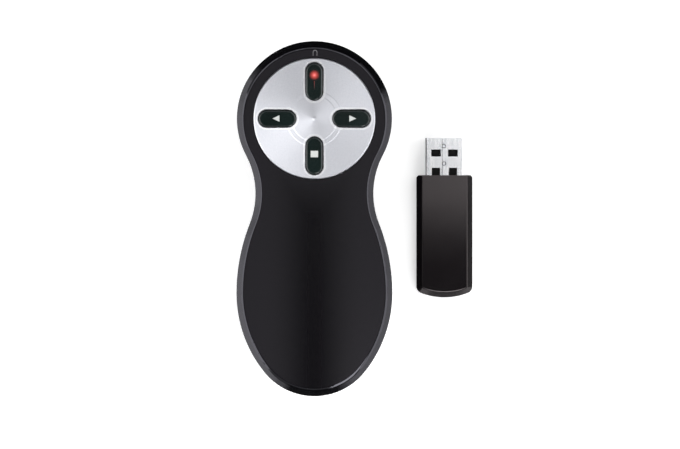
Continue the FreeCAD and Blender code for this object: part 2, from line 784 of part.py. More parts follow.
def make_rim_band():
    body = new_body("rim_band")
    prism(body, "band", section("outer"), "parting_height", "rim_top")
    dress(body, "bevel", "Chamfer", "rim_bevel", lambda edge: level(edge, "rim_top"))
    dress(body, "bevel_round", "Fillet", "rim_round", lambda edge: level(edge, "rim_top"))
    pocket(body, "cover_recess", section("recess"), "cover_seat_height", "rim_top + overrun")
    pocket(body, "inside", section("rim_inner"), "parting_height - overrun", "ledge_bottom")
    pocket(body, "ledge_opening", section("ledge"), "ledge_bottom - overrun", "cover_seat_height + overrun")
    prism(body, "screw_lugs", lambda sketch: (
        [draw_lug(sketch, across, along, "head_radius") for across, along in HEAD_SCREWS],
        [draw_lug(sketch, across, along, "grip_half_width") for across, along in GRIP_SCREWS],
    ), "parting_height", "parting_height + lug_height")
    pocket(body, "lug_holes", circles(HOUSING_SCREWS, "screw_radius + screw_clearance"),
           "parting_height - overrun", "parting_height + lug_height + overrun")
    mouth = ("-dock_half_width", "dock_half_width", "bay_floor", "dock_top")
    pocket(body, "receiver_mouth", rectangles(mouth),
           "tail_back - tail_seam - ledge_width - overrun", "tail_back + overrun", plane="XZ_Plane")
    pocket(body, "nose_hole", circles([("0", "laser_z")], "window_radius + laser_fit"),
           "-head_radius - overrun", "-head_radius + wall + overrun", plane="XZ_Plane")
    return body


def draw_lug(sketch, across, along, half_width):
    """A lug round a screw that runs out to the middle of the wall beside it."""
    outward = math.copysign(1, size(across))
    wall_side = ("-" if outward < 0 else "") + "(%s - wall / 2)" % half_width
    centre = Vector(size(across), size(along), 0)
    first_angle = outward * math.pi / 2
    bow = arc(centre, size("lug_radius"), first_angle, first_angle + math.pi)
    start, end = bow.StartPoint, bow.EndPoint
    far_end = Vector(size(wall_side), end.y, 0)
    far_start = Vector(size(wall_side), start.y, 0)
    first = sketch.GeometryCount
    for curve in (bow, Part.LineSegment(end, far_end), Part.LineSegment(far_end, far_start),
                  Part.LineSegment(far_start, start)):
        sketch.addGeometry(curve, False)
    sketch.addConstraint(Sketcher.Constraint("Tangent", first, 2, first + 1, 1))
    sketch.addConstraint(Sketcher.Constraint("Coincident", first + 1, 2, first + 2, 1))
    sketch.addConstraint(Sketcher.Constraint("Coincident", first + 2, 2, first + 3, 1))
    sketch.addConstraint(Sketcher.Constraint("Tangent", first + 3, 2, first, 1))
    sketch.addConstraint(Sketcher.Constraint("Horizontal", first + 1))
    sketch.addConstraint(Sketcher.Constraint("Horizontal", first + 3))
    sketch.addConstraint(Sketcher.Constraint("Vertical", first + 2))
    pin(sketch, first, 3, across, along)
    hold(sketch, "Radius", first, formula="lug_radius")
    hold(sketch, "DistanceX", -1, 1, first + 1, 2, formula=wall_side)


def make_top_cover():
    body = new_body("top_cover")
    prism(body, "plate", section("cover"), "cover_seat_height", "crown_height + cover_edge")
    pocket(body, "crown", lambda sketch: draw_trim(
        sketch, "crown_height - crown_radius", "crown_radius", "grip_half_width + overrun",
        "crown_height + overrun",
    ), "-head_radius - overrun", "tail_back + overrun", plane="XZ_Plane")
    pocket(body, "plate_recess", circles([("0", "0")], "plate_radius + plate_gap"),
           "plate_bottom", "crown_height + overrun")
    pocket(body, "key_opening", circles([("0", "0")], "plate_radius - plate_seat_width"),
           "cover_seat_height - overrun", "crown_height + overrun")
    prism(body, "skirt", lambda sketch: (draw_section(sketch, "skirt"), draw_section(sketch, "skirt_inner")),
          "cover_seat_height - skirt_depth", "cover_seat_height")
    pocket(body, "skirt_notch", rectangles((
        "-dock_half_width - sleeve_wall - sleeve_fit", "dock_half_width + sleeve_wall + sleeve_fit",
        "-tail_back", "-dock_end",
    )), "cover_seat_height - skirt_depth - overrun", "cover_seat_height")
    return body


def make_button_plate():
    body = new_body("button_plate")
    revolve(body, "disc", lambda sketch: draw_polygon(sketch, [
        ("0", "plate_bottom"),
        ("plate_radius", "plate_bottom"),
        ("plate_radius", "plate_rim_height - plate_edge"),
        ("plate_radius - plate_edge", "plate_rim_height"),
        ("plate_ring_outer", "plate_rim_height - plate_dish"),
        ("plate_ring_outer - plate_ring_slope", "plate_ring_height"),
        ("plate_ring_inner + plate_ring_slope", "plate_ring_height"),
        ("plate_ring_inner", "plate_middle_height"),
        ("plate_pip_radius", "plate_middle_height"),
        ("0", "plate_middle_height - plate_pip_depth"),
    ]))
    def draw_key_slot(sketch):
        draw_slot(sketch, "0", "key_distance", "key_length + 2 * key_gap", "key_width + 2 * key_gap")

    slot = pocket(body, "key_slot", draw_key_slot, "plate_bottom - overrun", "plate_rim_height + overrun")
    rim = pocket(body, "slot_rim", draw_key_slot, "slot_rim_bottom", "plate_rim_height + slot_edge",
                 taper="slot_rim_degrees")
    ring = body.newObject("PartDesign::PolarPattern", "key_slots")
    ring.Originals = [slot, rim]
    ring.Axis = (origin_feature(body, "Z_Axis"), [""])
    ring.Occurrences = len(KEYS)
    body.Tip = ring
    doc.recompute()
    return body


# Keys, from the nose round towards the left hand, and the turn of each
KEYS = {"laser_key": 0, "back_key": 90, "blank_key": 180, "forward_key": 270}


def make_key(name, turn):
    body = new_body(name)
    prism(body, "cap", lambda sketch: draw_slot(sketch, "0", "key_distance", "key_length", "key_width"),
          "key_flange_bottom", "key_top")
    dress(body, "cap_rounding", "Fillet", "key_round", lambda edge: level(edge, "key_top"))
    prism(body, "flange", lambda sketch: draw_slot(
        sketch, "0", "key_distance", "key_length + 2 * key_flange", "key_width + 2 * key_flange",
    ), "key_flange_bottom", "key_flange_top")
    prism(body, "stem", circles([("0", "key_distance")], "key_stem_radius"),
          "plunger_top", "key_flange_bottom")
    body.Placement = turned(turn)
    return body


def make_plunger(name, turn):
    body = new_body(name)
    prism(body, "post", circles([("0", "key_distance")], "plunger_radius"), "plunger_bottom", "plunger_top")
    body.Placement = turned(turn)
    return body


def turned(degrees):
    return FreeCAD.Placement(Vector(0, 0, 0), FreeCAD.Rotation(Vector(0, 0, 1), degrees))


# Main board and what it carries

def make_group(name):
    body = new_body(name)
    body.AllowCompound = True
    return body


def make_tact_switches():
    body = make_group("tact_switches")
    half = "switch_side / 2"
    prism(body, "cases", rectangles(*[
        ("%s - %s" % (across, half), "%s + %s" % (across, half),
         "%s - %s" % (along, half), "%s + %s" % (along, half))
        for across, along in KEY_PLACES
    ]), "board_top", "switch_top")
    dress(body, "case_corners", "Chamfer", "switch_corner", upright)
    pocket(body, "wells", circles(KEY_PLACES, "plunger_radius + plunger_gap"),
           "switch_top - plunger_well", "switch_top + overrun")
    return body


def make_main_board():
    body = new_body("main_board")
    prism(body, "disc", circles([("0", "0")], "board_radius"), "board_height", "board_top")
    prism(body, "tongue", rectangles((
        "-board_tongue_half_width", "board_tongue_half_width", "-board_tongue_back", "0",
    )), "board_height", "board_top")
    pocket(body, "screw_holes", circles(BOARD_POSTS, "screw_radius + screw_clearance"),
           "board_height - overrun", "board_top + overrun")
    return body


def make_block(name, left, right, back, front, bottom, top):
    body = new_body(name)
    prism(body, "block", rectangles((left, right, back, front)), bottom, top)
    return body


def make_screws(name, places, seat, length, points_up):
    """Pan head screws in one group; each head bears on its seat."""
    body = make_group(name)
    shank_end = "%s + %s" % (seat, length) if points_up else "%s - %s" % (seat, length)
    head_end = "%s - screw_head_height" % seat if points_up else "%s + screw_head_height" % seat
    low, high = sorted((seat, shank_end), key=size)
    prism(body, "shanks", circles(places, "screw_radius"), low, high)
    low, high = sorted((seat, head_end), key=size)
    prism(body, "heads", circles(places, "screw_head_radius"), low, high)
    dress(body, "head_rounding", "Fillet", "screw_head_round", lambda edge: level(edge, head_end))
    return body


# Laser

def make_laser_barrel():
    body = new_body("laser_barrel")
    along = {"plane": "XZ_Plane"}
    axis = [("0", "laser_z")]
    prism(body, "tube", circles(axis, "barrel_radius"), "-barrel_front", "-barrel_back", **along)
    pocket(body, "bore", circles(axis, "barrel_bore"),
           "-barrel_front - overrun", "-barrel_back + overrun", **along)
    pocket(body, "lens_seat", circles(axis, "lens_radius + laser_fit"),
           "-barrel_front - overrun", "-barrel_front + lens_seat_depth", **along)
    pocket(body, "diode_seat", circles(axis, "diode_radius"),
           "-barrel_back - diode_length", "-barrel_back + overrun", **along)
    return body


def make_laser_lens():
    body = new_body("laser_lens")
    back = "-barrel_front + lens_seat_depth"
    prism(body, "disc", circles([("0", "laser_z")], "lens_radius"),
          back + " - lens_thickness", back, plane="XZ_Plane")
    dress(body, "dome", "Fillet", "lens_thickness / 2",
          lambda edge: near(edge.BoundBox.YMin, "barrel_front - lens_seat_depth + lens_thickness"))
    return body


def make_laser_diode():
    body = new_body("laser_diode")
    prism(body, "can", circles([("0", "laser_z")], "diode_radius"),
          "-barrel_back - diode_length", "-barrel_back", plane="XZ_Plane")
    pins = mirrored("diode_pin_circle", "laser_z") + [("0", "laser_z - diode_pin_circle")]
    prism(body, "pins", circles(pins, "diode_pin_radius"),
          "-barrel_back", "-barrel_back + diode_pin_length", plane="XZ_Plane")
    return body


def make_laser_window():
    body = new_body("laser_window")
    prism(body, "disc", circles([("0", "laser_z")], "window_radius"),
          "-window_front", "-window_front + window_thickness", plane="XZ_Plane")
    return body


# Batteries, contacts and springs

def make_battery(name, across, nub_at_head):
    """One cell between the contacts; its spring fills the rest of the bay's length."""
    body = new_body(name)
    axis = [(across, "battery_z")]
    head = "bay_head + contact_thickness" if nub_at_head else "bay_head + contact_thickness + spring_length"
    tail = "%s + battery_length" % head
    case_head = "%s + battery_nub_length" % head if nub_at_head else head
    case_tail = tail if nub_at_head else "%s - battery_nub_length" % tail
    prism(body, "case", circles(axis, "battery_radius"), case_head, case_tail, plane="XZ_Plane")
    dress(body, "case_edges", "Fillet", "battery_edge",
          lambda edge: square_on(edge, "-(%s)" % case_head) or square_on(edge, "-(%s)" % case_tail))
    nub_start, nub_end = (head, case_head) if nub_at_head else (case_tail, tail)
    prism(body, "nub", circles(axis, "battery_nub_radius"), nub_start, nub_end, plane="XZ_Plane")
    return body


def make_board_contact(name, across):
    """Sprung sheet on the head end wall, with a tab up to the main board."""
    body = new_body(name)
    left = "%s - contact_half_width" % across
    right = "%s + contact_half_width" % across
    tab_left = "%s - contact_tab_half_width" % across
    tab_right = "%s + contact_tab_half_width" % across
    prism(body, "sheet", lambda sketch: draw_polygon(sketch, [
        (left, "contact_bottom"), (right, "contact_bottom"), (right, "contact_top"),
        (tab_right, "contact_top"), (tab_right, "board_height"),
        (tab_left, "board_height"), (tab_left, "contact_top"), (left, "contact_top"),
    ]), "bay_head", "bay_head + contact_thickness", plane="XZ_Plane")
    return body


def make_bridge_contact():
    body = new_body("bridge_contact")
    prism(body, "sheet", rectangles((
        "-battery_x - contact_half_width", "battery_x + contact_half_width", "contact_bottom", "contact_top",
    )), "bay_tail - contact_thickness", "bay_tail", plane="XZ_Plane")
    return body


def make_spring(name, across, foot, toward_nose):
    """Conical contact spring, narrow on the cell and wide on its contact."""
    wire_radius = size("spring_wire_radius")
    flare = math.tan(math.radians(size("spring_taper_degrees")))
    narrow = size("spring_base_radius") - size("spring_height") * flare
    turns = size("spring_height / spring_pitch")

    def place(turn):
        height = turn * size("spring_pitch")
        reach = narrow + height * flare
        angle = 2 * math.pi * turn
        return Vector(reach * math.cos(angle), reach * math.sin(angle), height)

    def heading(turn):
        angle = 2 * math.pi * turn
        out = Vector(math.cos(angle), math.sin(angle), 0)
        round_way = Vector(-math.sin(angle), math.cos(angle), 0) * (2 * math.pi * place(turn).dot(out))
        climb = (out * flare + Vector(0, 0, 1)) * size("spring_pitch")
        return (round_way + climb).normalize()

    count = math.ceil(4 * turns)
    marks = [turns * index / count for index in range(count + 1)]
    path = []
    for one, two in zip(marks, marks[1:]):
        path += biarc(place(one), heading(one), place(two), heading(two))
    ring = Part.Circle(place(0), heading(0), wire_radius).toShape()
    print(name, "least gap to itself", round(least_gap(place, turns) - 2 * wire_radius, 3), "mm")

    spring = doc.addObject("Part::Feature", name)
    spring.Shape = Part.Wire(path).makePipeShell([Part.Wire([ring])], True, False)
    spring.Label = name
    lean = 90 if toward_nose else -90
    spring.Placement = FreeCAD.Placement(Vector(0, 0, 0), FreeCAD.Rotation(Vector(1, 0, 0), lean))
    bind(spring, Placement__Base__x=across, Placement__Base__y=foot, Placement__Base__z="battery_z")
    return spring


def biarc(start, start_way, end, end_way):
    """Two arcs from one point to another that keep both headings and meet smoothly."""
    chord = end - start
    along = chord.dot(start_way + end_way)
    spread = 2 * (1 - start_way.dot(end_way))
    reach = (math.sqrt(along ** 2 + spread * chord.dot(chord)) - along) / spread
    corners = (start + start_way * reach, end - end_way * reach)
    joint = (corners[0] + corners[1]) * 0.5
    return [tangent_arc(start, corners[0], joint), tangent_arc(joint, corners[1], end)]


def tangent_arc(start, corner, end):
    """The arc between two points whose tangents there meet at a corner."""
    middle = (start + end) * 0.5
    half_turn = math.atan2((corner - middle).Length, (end - middle).Length)
    crest = middle + (corner - middle) * (math.tan(half_turn / 2) / math.tan(half_turn))
    return Part.Arc(start, crest, end).toShape()


def least_gap(place, turns):
    """Least distance between points of the coil's centre line that lie half a turn or more apart."""
    per_turn = 36
    points = [place(index / per_turn) for index in range(int(turns * per_turn))]
    return min(
        (two - one).Length for index, one in enumerate(points) for two in points[index + per_turn // 2:]
    )


# Battery door and power slider

def make_battery_door():
    body = new_body("battery_door")
    prism(body, "plate", lambda sketch: draw_door(sketch, "-hinge_back", "0"), "door_recess", "door_top")
    axis = [("-hinge_back", "hinge_z")]
    prism(body, "knuckle", circles(axis, "knuckle_radius"),
          "-door_half_width", "door_half_width", plane="YZ_Plane")
    prism(body, "hinge_pins", circles(axis, "hinge_pin_radius"),
          "-bay_half_width - hinge_pin_length", "bay_half_width + hinge_pin_length", plane="YZ_Plane")
    leaf_tail = "-door_tail + latch_setback"
    prism(body, "latch_leaf", rectangles((
        "-latch_width / 2", "latch_width / 2", leaf_tail, leaf_tail + " + latch_thickness",
    )), "door_top", "door_top + latch_height")
    prism(body, "latch_hook", rectangles((
        "-latch_width / 2", "latch_width / 2", "-door_opening_tail + latch_hook_gap", leaf_tail,
    )), "floor_thickness + door_gap", "floor_thickness + door_gap + latch_hook_height")
    pocket(body, "thumb_rest", circles([("0", "-door_tail + thumb_from_tail")], "thumb_radius"),
           "-overrun", "door_recess + thumb_depth")
    return body


def make_power_slider():
    body = new_body("power_slider")
    knob_top = "power_recess_depth - power_flange_gap"
    prism(body, "knob", rectangles((
        "-power_knob_half_length", "power_knob_half_length",
        "-power_back - power_knob_half_width", "-power_back + power_knob_half_width",
    )), "power_knob_recess", knob_top)
    prism(body, "neck", rectangles((
        "-power_neck_half_length", "power_neck_half_length",
        "-power_back - power_neck_half_width", "-power_back + power_neck_half_width",
    )), knob_top, "power_neck_top")
    prism(body, "flange", rectangles((
        "-power_flange_half_length", "power_flange_half_length",
        "-power_back - power_flange_half_width", "-power_back + power_flange_half_width",
    )), "floor_thickness + power_flange_gap", "floor_thickness + power_flange_gap + power_flange_thickness")
    pocket(body, "grip_grooves", rectangles(*[
        ("%s - power_grip_width / 2" % middle, "%s + power_grip_width / 2" % middle,
         "-power_back - power_knob_half_width - overrun", "-power_back + power_knob_half_width + overrun")
        for middle in ("-power_grip_pitch", "0", "power_grip_pitch")
    ]), "-overrun", "power_knob_recess + power_grip_depth")
    bind(body, Placement__Base__x="-power_travel / 2")
    return body


def make_power_switch_body():
    body = make_block(
        "power_switch_body", "-power_switch_half_length", "power_switch_half_length",
        "-power_back - power_switch_half_width", "-power_back + power_switch_half_width",
        "power_switch_bottom", "power_switch_bottom + power_switch_height",
    )
    pocket(body, "slider_well", rectangles(POWER_SLOT),
           "power_switch_bottom - overrun", "power_neck_top + power_neck_gap")
    return body


# Bay for the receiver in the tail

def make_receiver_sleeve():
    body = new_body("receiver_sleeve")
    outer = "(dock_half_width + sleeve_wall)"
    foot = "bay_outer_half_width"
    prism(body, "tube", lambda sketch: (
        draw_polygon(sketch, [
            ("-" + foot, "parting_height"), ("-bay_half_width", "parting_height"),
            ("-bay_half_width", "sleeve_bottom"), ("bay_half_width", "sleeve_bottom"),
            ("bay_half_width", "parting_height"), (foot, "parting_height"),
            (foot, "bay_floor"), (outer, "bay_floor"), (outer, "dock_top + sleeve_wall"),
            ("-" + outer, "dock_top + sleeve_wall"), ("-" + outer, "bay_floor"), ("-" + foot, "bay_floor"),
        ]),
    ), "dock_end - sleeve_wall", "tail_back", plane="XZ_Plane")
    pocket(body, "bore", rectangles(("-dock_half_width", "dock_half_width", "bay_floor", "dock_top")),
           "dock_end", "tail_back + overrun", plane="XZ_Plane")
    pocket(body, "tail_end", lambda sketch: draw_trim(
        sketch, "ledge_tail_middle", "ledge_tail_reach - sleeve_fit", foot + " + overrun",
        "-tail_back - overrun",
    ), "0", "crown_height")
    return body


# Receiver

def draw_receiver(sketch, margin):
    """The receiver's outline drawn in by a margin: straight at the plug, bowed at the far end."""
    half = "receiver_width / 2 - (%s)" % margin
    front = "-receiver_front - (%s)" % margin
    radius = "receiver_end_radius - (%s)" % margin
    middle = "-receiver_front - receiver_length + receiver_end_radius"
    angle = math.asin(size(half) / size(radius))
    bow = arc(Vector(0, size(middle), 0), size(radius), -math.pi / 2 - angle, -math.pi / 2 + angle)
    start, end = bow.StartPoint, bow.EndPoint
    front_right = Vector(size(half), size(front), 0)
    front_left = Vector(-size(half), size(front), 0)
    first = sketch.GeometryCount
    for curve in (bow, Part.LineSegment(end, front_right), Part.LineSegment(front_right, front_left),
                  Part.LineSegment(front_left, start)):
        sketch.addGeometry(curve, False)
    for index in range(4):
        following = first + (index + 1) % 4
        sketch.addConstraint(Sketcher.Constraint("Coincident", first + index, 2, following, 1))
    sketch.addConstraint(Sketcher.Constraint("Vertical", first + 1))
    sketch.addConstraint(Sketcher.Constraint("Vertical", first + 3))
    pin(sketch, first, 3, "0", middle)
    hold(sketch, "Radius", first, formula=radius)
    pin(sketch, first + 1, 2, half, front)
    pin(sketch, first + 2, 2, "-(%s)" % half, front)


def draw_receiver_crown(sketch):
    """All that lies outside the long arc that the receiver's top face follows."""
    middle = "-receiver_front - receiver_length / 2"
    depth = "receiver_thickness - receiver_crown_radius"
    reach = "receiver_crown_radius + overrun"
    draw_rectangle(sketch, "%s - (%s)" % (middle, reach), "%s + %s" % (middle, reach),
                   "%s - (%s)" % (depth, reach), "%s + %s" % (depth, reach))
    draw_circle(sketch, middle, depth, "receiver_crown_radius")


def draw_front_corners(sketch):
    """The two corners cut off beside the plug."""
    side = "receiver_width / 2 + overrun"
    inward = "receiver_width / 2 - receiver_front_cut - overrun"
    front = "-receiver_front + overrun"
    rear = "-receiver_front - receiver_front_cut - overrun"
    draw_polygon(sketch, [(inward, front), (side, front), (side, rear)])
    draw_polygon(sketch, [("-(%s)" % inward, front), ("-(%s)" % side, rear), ("-(%s)" % side, front)])


def along_face(edge, height):
    """Tell whether an edge keeps near a height, closer than an eighth of the receiver's thickness."""
    box = edge.BoundBox
    reach = size("receiver_thickness / 8")
    return abs(box.ZMin - size(height)) < reach and abs(box.ZMax - size(height)) < reach


def make_receiver_shell(name, bottom, top, outside, bevel):
    """Half of the receiver's case; its outside face is bevelled along the sides and the far end."""
    body = new_body(name)
    prism(body, "shell", lambda sketch: draw_receiver(sketch, "0"), bottom, top)
    dress(body, "corners", "Fillet", "receiver_corner",
          lambda edge: upright(edge) and edge.BoundBox.YMax < -size("receiver_front + receiver_wall"))
    if outside == top:
        pocket(body, "crown", draw_receiver_crown,
               "-receiver_width / 2 - overrun", "receiver_width / 2 + overrun", plane="YZ_Plane")
    def on_rim(edge):
        return along_face(edge, outside) and edge.BoundBox.YMin < -size("receiver_front + receiver_wall")

    dress(body, "bevel", "Chamfer", bevel, on_rim)
    if outside == top:
        dress(body, "bevel_round", "Fillet", "receiver_bevel_round", on_rim)
    pocket(body, "front_corners", draw_front_corners, "-overrun", "receiver_thickness + overrun")
    low = bottom if outside == top else bottom + " + receiver_wall"
    high = top + " - receiver_wall" if outside == top else top
    pocket(body, "cavity", lambda sketch: draw_receiver(sketch, "receiver_wall"), low, high)
    pocket(body, "plug_opening", rectangles((
        "-plug_width / 2 - plug_fit", "plug_width / 2 + plug_fit",
        "receiver_middle - plug_height / 2 - plug_fit", "receiver_middle + plug_height / 2 + plug_fit",
    )), "receiver_front - overrun", "receiver_front + overrun", plane="XZ_Plane")
    bind(body, Placement__Base__x="receiver_x")
    return body


def make_receiver_shells():
    bottom = make_receiver_shell("receiver_bottom_shell", "0", "receiver_middle", "0", "receiver_under_bevel")
    prism(bottom, "plug_seat", rectangles((
        "-plug_seat_half_width", "plug_seat_half_width",
        "-receiver_front - overrun - plug_seat_length", "-receiver_front - overrun",
    )), "receiver_wall", "receiver_middle - plug_height / 2")
    half = "receiver_board_half_width"
    rib_fronts = (
        "-receiver_board_front - 2 * receiver_rib_thickness",
        "-receiver_board_rear + 4 * receiver_rib_thickness",
    )
    prism(bottom, "board_ribs", rectangles(*[
        ("-" + half, half, "%s - receiver_rib_thickness" % front, front) for front in rib_fronts
    ]), "receiver_wall", "receiver_board_height")
    top = make_receiver_shell(
        "receiver_top_shell", "receiver_middle", "receiver_thickness", "receiver_thickness", "receiver_bevel",
    )
    return [bottom, top]


def draw_plug(sketch, margin):
    """The plug's end view, a rectangle with small round corners, drawn in by a margin."""
    half = "plug_width / 2 - (%s)" % margin
    low = "receiver_middle - plug_height / 2 + (%s)" % margin
    high = "receiver_middle + plug_height / 2 - (%s)" % margin
    radius = "plug_corner - (%s)" % margin
    first = sketch.GeometryCount
    corners = (
        ("(%s) - (%s)" % (half, radius), "(%s) - (%s)" % (high, radius)),
        ("-(%s) + (%s)" % (half, radius), "(%s) - (%s)" % (high, radius)),
        ("-(%s) + (%s)" % (half, radius), "(%s) + (%s)" % (low, radius)),
        ("(%s) - (%s)" % (half, radius), "(%s) + (%s)" % (low, radius)),
    )
    quarter = math.pi / 2
    bows = [
        arc(Vector(size(across), size(along), 0), size(radius), index * quarter, (index + 1) * quarter)
        for index, (across, along) in enumerate(corners)
    ]
    for index, bow in enumerate(bows):
        sketch.addGeometry(bow, False)
        sketch.addGeometry(Part.LineSegment(bow.EndPoint, bows[(index + 1) % 4].StartPoint), False)
    for index in range(8):
        following = first + (index + 1) % 8
        sketch.addConstraint(Sketcher.Constraint("Tangent", first + index, 2, following, 1))
    for index, (across, along) in enumerate(corners):
        pin(sketch, first + 2 * index, 3, across, along)
    hold(sketch, "Radius", first, formula=radius)
    for index in (2, 4, 6):
        sketch.addConstraint(Sketcher.Constraint("Equal", first, first + index))


def make_usb_shell():
    body = new_body("usb_shell")
    prism(body, "tube", lambda sketch: (draw_plug(sketch, "0"), draw_plug(sketch, "plug_wall")),
          "plug_tip", "receiver_front + plug_root", plane="XZ_Plane")
    windows = [
        (middle + " - %s / 2" % width, middle + " + %s / 2" % width,
         "-plug_tip - %s - %s" % (start, length), "-plug_tip - " + start)
        for middle in ("-plug_window_aside", "plug_window_aside")
        for width, start, length in (
            ("plug_window_width", "plug_window_from_tip", "plug_window_length"),
            ("plug_slot_width", "plug_slot_from_tip", "plug_slot_length"),
        )
    ]
    pocket(body, "windows", rectangles(*windows), "receiver_middle", "receiver_thickness")
    bind(body, Placement__Base__x="receiver_x")
    return body


def make_usb_tongue():
    half = "plug_width / 2 - plug_wall - tongue_side_gap"
    body = make_block(
        "usb_tongue", "-(%s)" % half, half, "-receiver_front - plug_root", "-plug_tip - tongue_setback",
        "tongue_bottom", "tongue_bottom + tongue_thickness",
    )
    bind(body, Placement__Base__x="receiver_x")
    return body


def make_usb_contacts():
    body = make_group("usb_contacts")
    middles = ["%s * contact_pitch" % share for share in ("-1.5", "-0.5", "0.5", "1.5")]
    front = "-plug_tip - tongue_setback - contact_pad_setback"
    prism(body, "pads", rectangles(*[
        ("%s - contact_pad_width / 2" % middle, "%s + contact_pad_width / 2" % middle,
         front + " - contact_pad_length", front)
        for middle in middles
    ]), "tongue_bottom - contact_pad_thickness", "tongue_bottom")
    bind(body, Placement__Base__x="receiver_x")
    return body


def make_receiver_part(name, *place):
    body = make_block(name, *place)
    bind(body, Placement__Base__x="receiver_x")
    return body


# The whole assembly

def make_all():
    spring_foot = "(contact_thickness + spring_length - spring_wire_radius)"
    parts = [make_lower_housing(), make_rim_band(), make_top_cover(), make_button_plate()]
    for name, turn in KEYS.items():
        parts.append(make_key(name, turn))
        parts.append(make_plunger(name.replace("key", "plunger"), turn))
    parts += [
        make_main_board(),
        make_tact_switches(),
        make_block("radio_chip", "-chip_aside - chip_side / 2", "-chip_aside + chip_side / 2",
                   "-chip_back - chip_side / 2", "-chip_back + chip_side / 2",
                   "board_top", "board_top + chip_height"),
        make_block("board_crystal", "chip_aside - crystal_length / 2", "chip_aside + crystal_length / 2",
                   "-chip_back - crystal_width / 2", "-chip_back + crystal_width / 2",
                   "board_top", "board_top + crystal_height"),
        make_screws("board_screws", BOARD_POSTS, "board_top", "board_screw_length", points_up=False),
        make_screws("housing_screws", HOUSING_SCREWS, "screw_recess", "housing_screw_length", points_up=True),
        make_laser_barrel(),
        make_laser_lens(),
        make_laser_diode(),
        make_laser_window(),
        make_battery("battery_left", "-battery_x", nub_at_head=False),
        make_battery("battery_right", "battery_x", nub_at_head=True),
        make_board_contact("negative_contact", "-battery_x"),
        make_board_contact("positive_contact", "battery_x"),
        make_bridge_contact(),
        make_spring("head_spring", "-battery_x", "-bay_head - " + spring_foot, toward_nose=False),
        make_spring("tail_spring", "battery_x", "-bay_tail + " + spring_foot, toward_nose=True),
        make_battery_door(),
        make_power_slider(),
        make_power_switch_body(),
        make_receiver_sleeve(),
        *make_receiver_shells(),
        make_usb_shell(),
        make_usb_tongue(),
        make_usb_contacts(),
        make_receiver_part("receiver_board", "-receiver_board_half_width", "receiver_board_half_width",
                           "-receiver_board_rear", "-receiver_board_front",
                           "receiver_board_height", "receiver_board_top"),
        make_receiver_part("receiver_chip", "-receiver_chip_side / 2", "receiver_chip_side / 2",
                           "-receiver_board_front - 2 * receiver_chip_side",
                           "-receiver_board_front - receiver_chip_side",
                           "receiver_board_top", "receiver_board_top + receiver_chip_height"),
        make_receiver_part("receiver_crystal", "-crystal_length / 2", "crystal_length / 2",
                           "-receiver_board_rear + receiver_crystal_back - crystal_width",
                           "-receiver_board_rear + receiver_crystal_back",
                           "receiver_board_top", "receiver_board_top + crystal_height"),
    ]
    return parts


def check_and_export(parts):
    doc.recompute()
    for item in doc.Objects:
        if "Invalid" in item.State or "Error" in item.State:
            raise RuntimeError("%s is %s" % (item.Label, item.State))
    for part in parts:
        if part.Shape.isNull() or not part.Shape.isValid() or not part.Shape.Solids:
            raise RuntimeError(part.Label + " has no valid solid")
    os.makedirs("parts", exist_ok=True)
    for part in parts:
        part.Shape.exportStep("parts/%s.step" % part.Label)
        print(part.Label, len(part.Shape.Solids), "solids", round(part.Shape.Volume, 3), "mm3")


if __name__ == "__main__":
    check_and_export(make_all())
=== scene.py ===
import math

import bpy
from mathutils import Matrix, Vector


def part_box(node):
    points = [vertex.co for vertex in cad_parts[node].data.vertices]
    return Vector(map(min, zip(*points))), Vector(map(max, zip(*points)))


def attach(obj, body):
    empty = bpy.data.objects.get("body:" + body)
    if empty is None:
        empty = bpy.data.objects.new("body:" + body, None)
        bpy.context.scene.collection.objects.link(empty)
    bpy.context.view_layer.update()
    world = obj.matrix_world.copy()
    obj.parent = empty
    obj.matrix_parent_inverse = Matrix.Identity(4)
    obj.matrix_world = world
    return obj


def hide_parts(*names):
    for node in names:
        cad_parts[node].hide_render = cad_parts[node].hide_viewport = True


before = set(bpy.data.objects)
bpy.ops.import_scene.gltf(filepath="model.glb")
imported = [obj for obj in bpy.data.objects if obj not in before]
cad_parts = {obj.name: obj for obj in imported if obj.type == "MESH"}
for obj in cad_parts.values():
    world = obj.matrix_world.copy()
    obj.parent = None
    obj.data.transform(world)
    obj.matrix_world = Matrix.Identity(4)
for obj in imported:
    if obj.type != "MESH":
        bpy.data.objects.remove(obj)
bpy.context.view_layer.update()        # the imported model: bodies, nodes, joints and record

# Wireless presentation clicker and the plug-in receiver beside it: finishes, marks, screws, lamps and camera.
# Lengths are in metres; MM turns millimetres into metres.

MM = 0.001

# The photograph's frame: its size in pixels, the real size of a pixel, and the place under its middle
PHOTO_WIDTH_PIXELS = 680
MM_PER_PIXEL = 0.3085
PICTURE_CENTRE = Vector((7.87, -32.53, 18.0)) * MM


# Colours and nodes

def paint(hex_code):
    """Turn an sRGB hex colour into the linear colour that a shader takes."""
    channels = [int(hex_code[start:start + 2], 16) / 255 for start in (1, 3, 5)]
    linear = [c / 12.92 if c <= 0.04045 else ((c + 0.055) / 1.055) ** 2.4 for c in channels]
    return (*linear, 1.0)


def add_node(material, kind, inputs=None, **settings):
    """Add a node. Each input takes a value, or another node's output to link."""
    node = material.node_tree.nodes.new("ShaderNode" + kind)
    for name, value in settings.items():
        setattr(node, name, value)
    for socket, value in (inputs or {}).items():
        if isinstance(value, bpy.types.NodeSocket):
            material.node_tree.links.new(value, node.inputs[socket])
        else:
            node.inputs[socket].default_value = value
    return node


def new_finish(name, values):
    """Make a material whose shader's sockets hold the given values."""
    material = bpy.data.materials.new(name)
    material.use_nodes = True
    shader = material.node_tree.nodes["Principled BSDF"]
    for socket, value in values.items():
        shader.inputs[socket].default_value = value
    return material, shader


def object_place(material):
    """The place on the object in its own frame, in metres."""
    return add_node(material, "TexCoord").outputs["Object"]


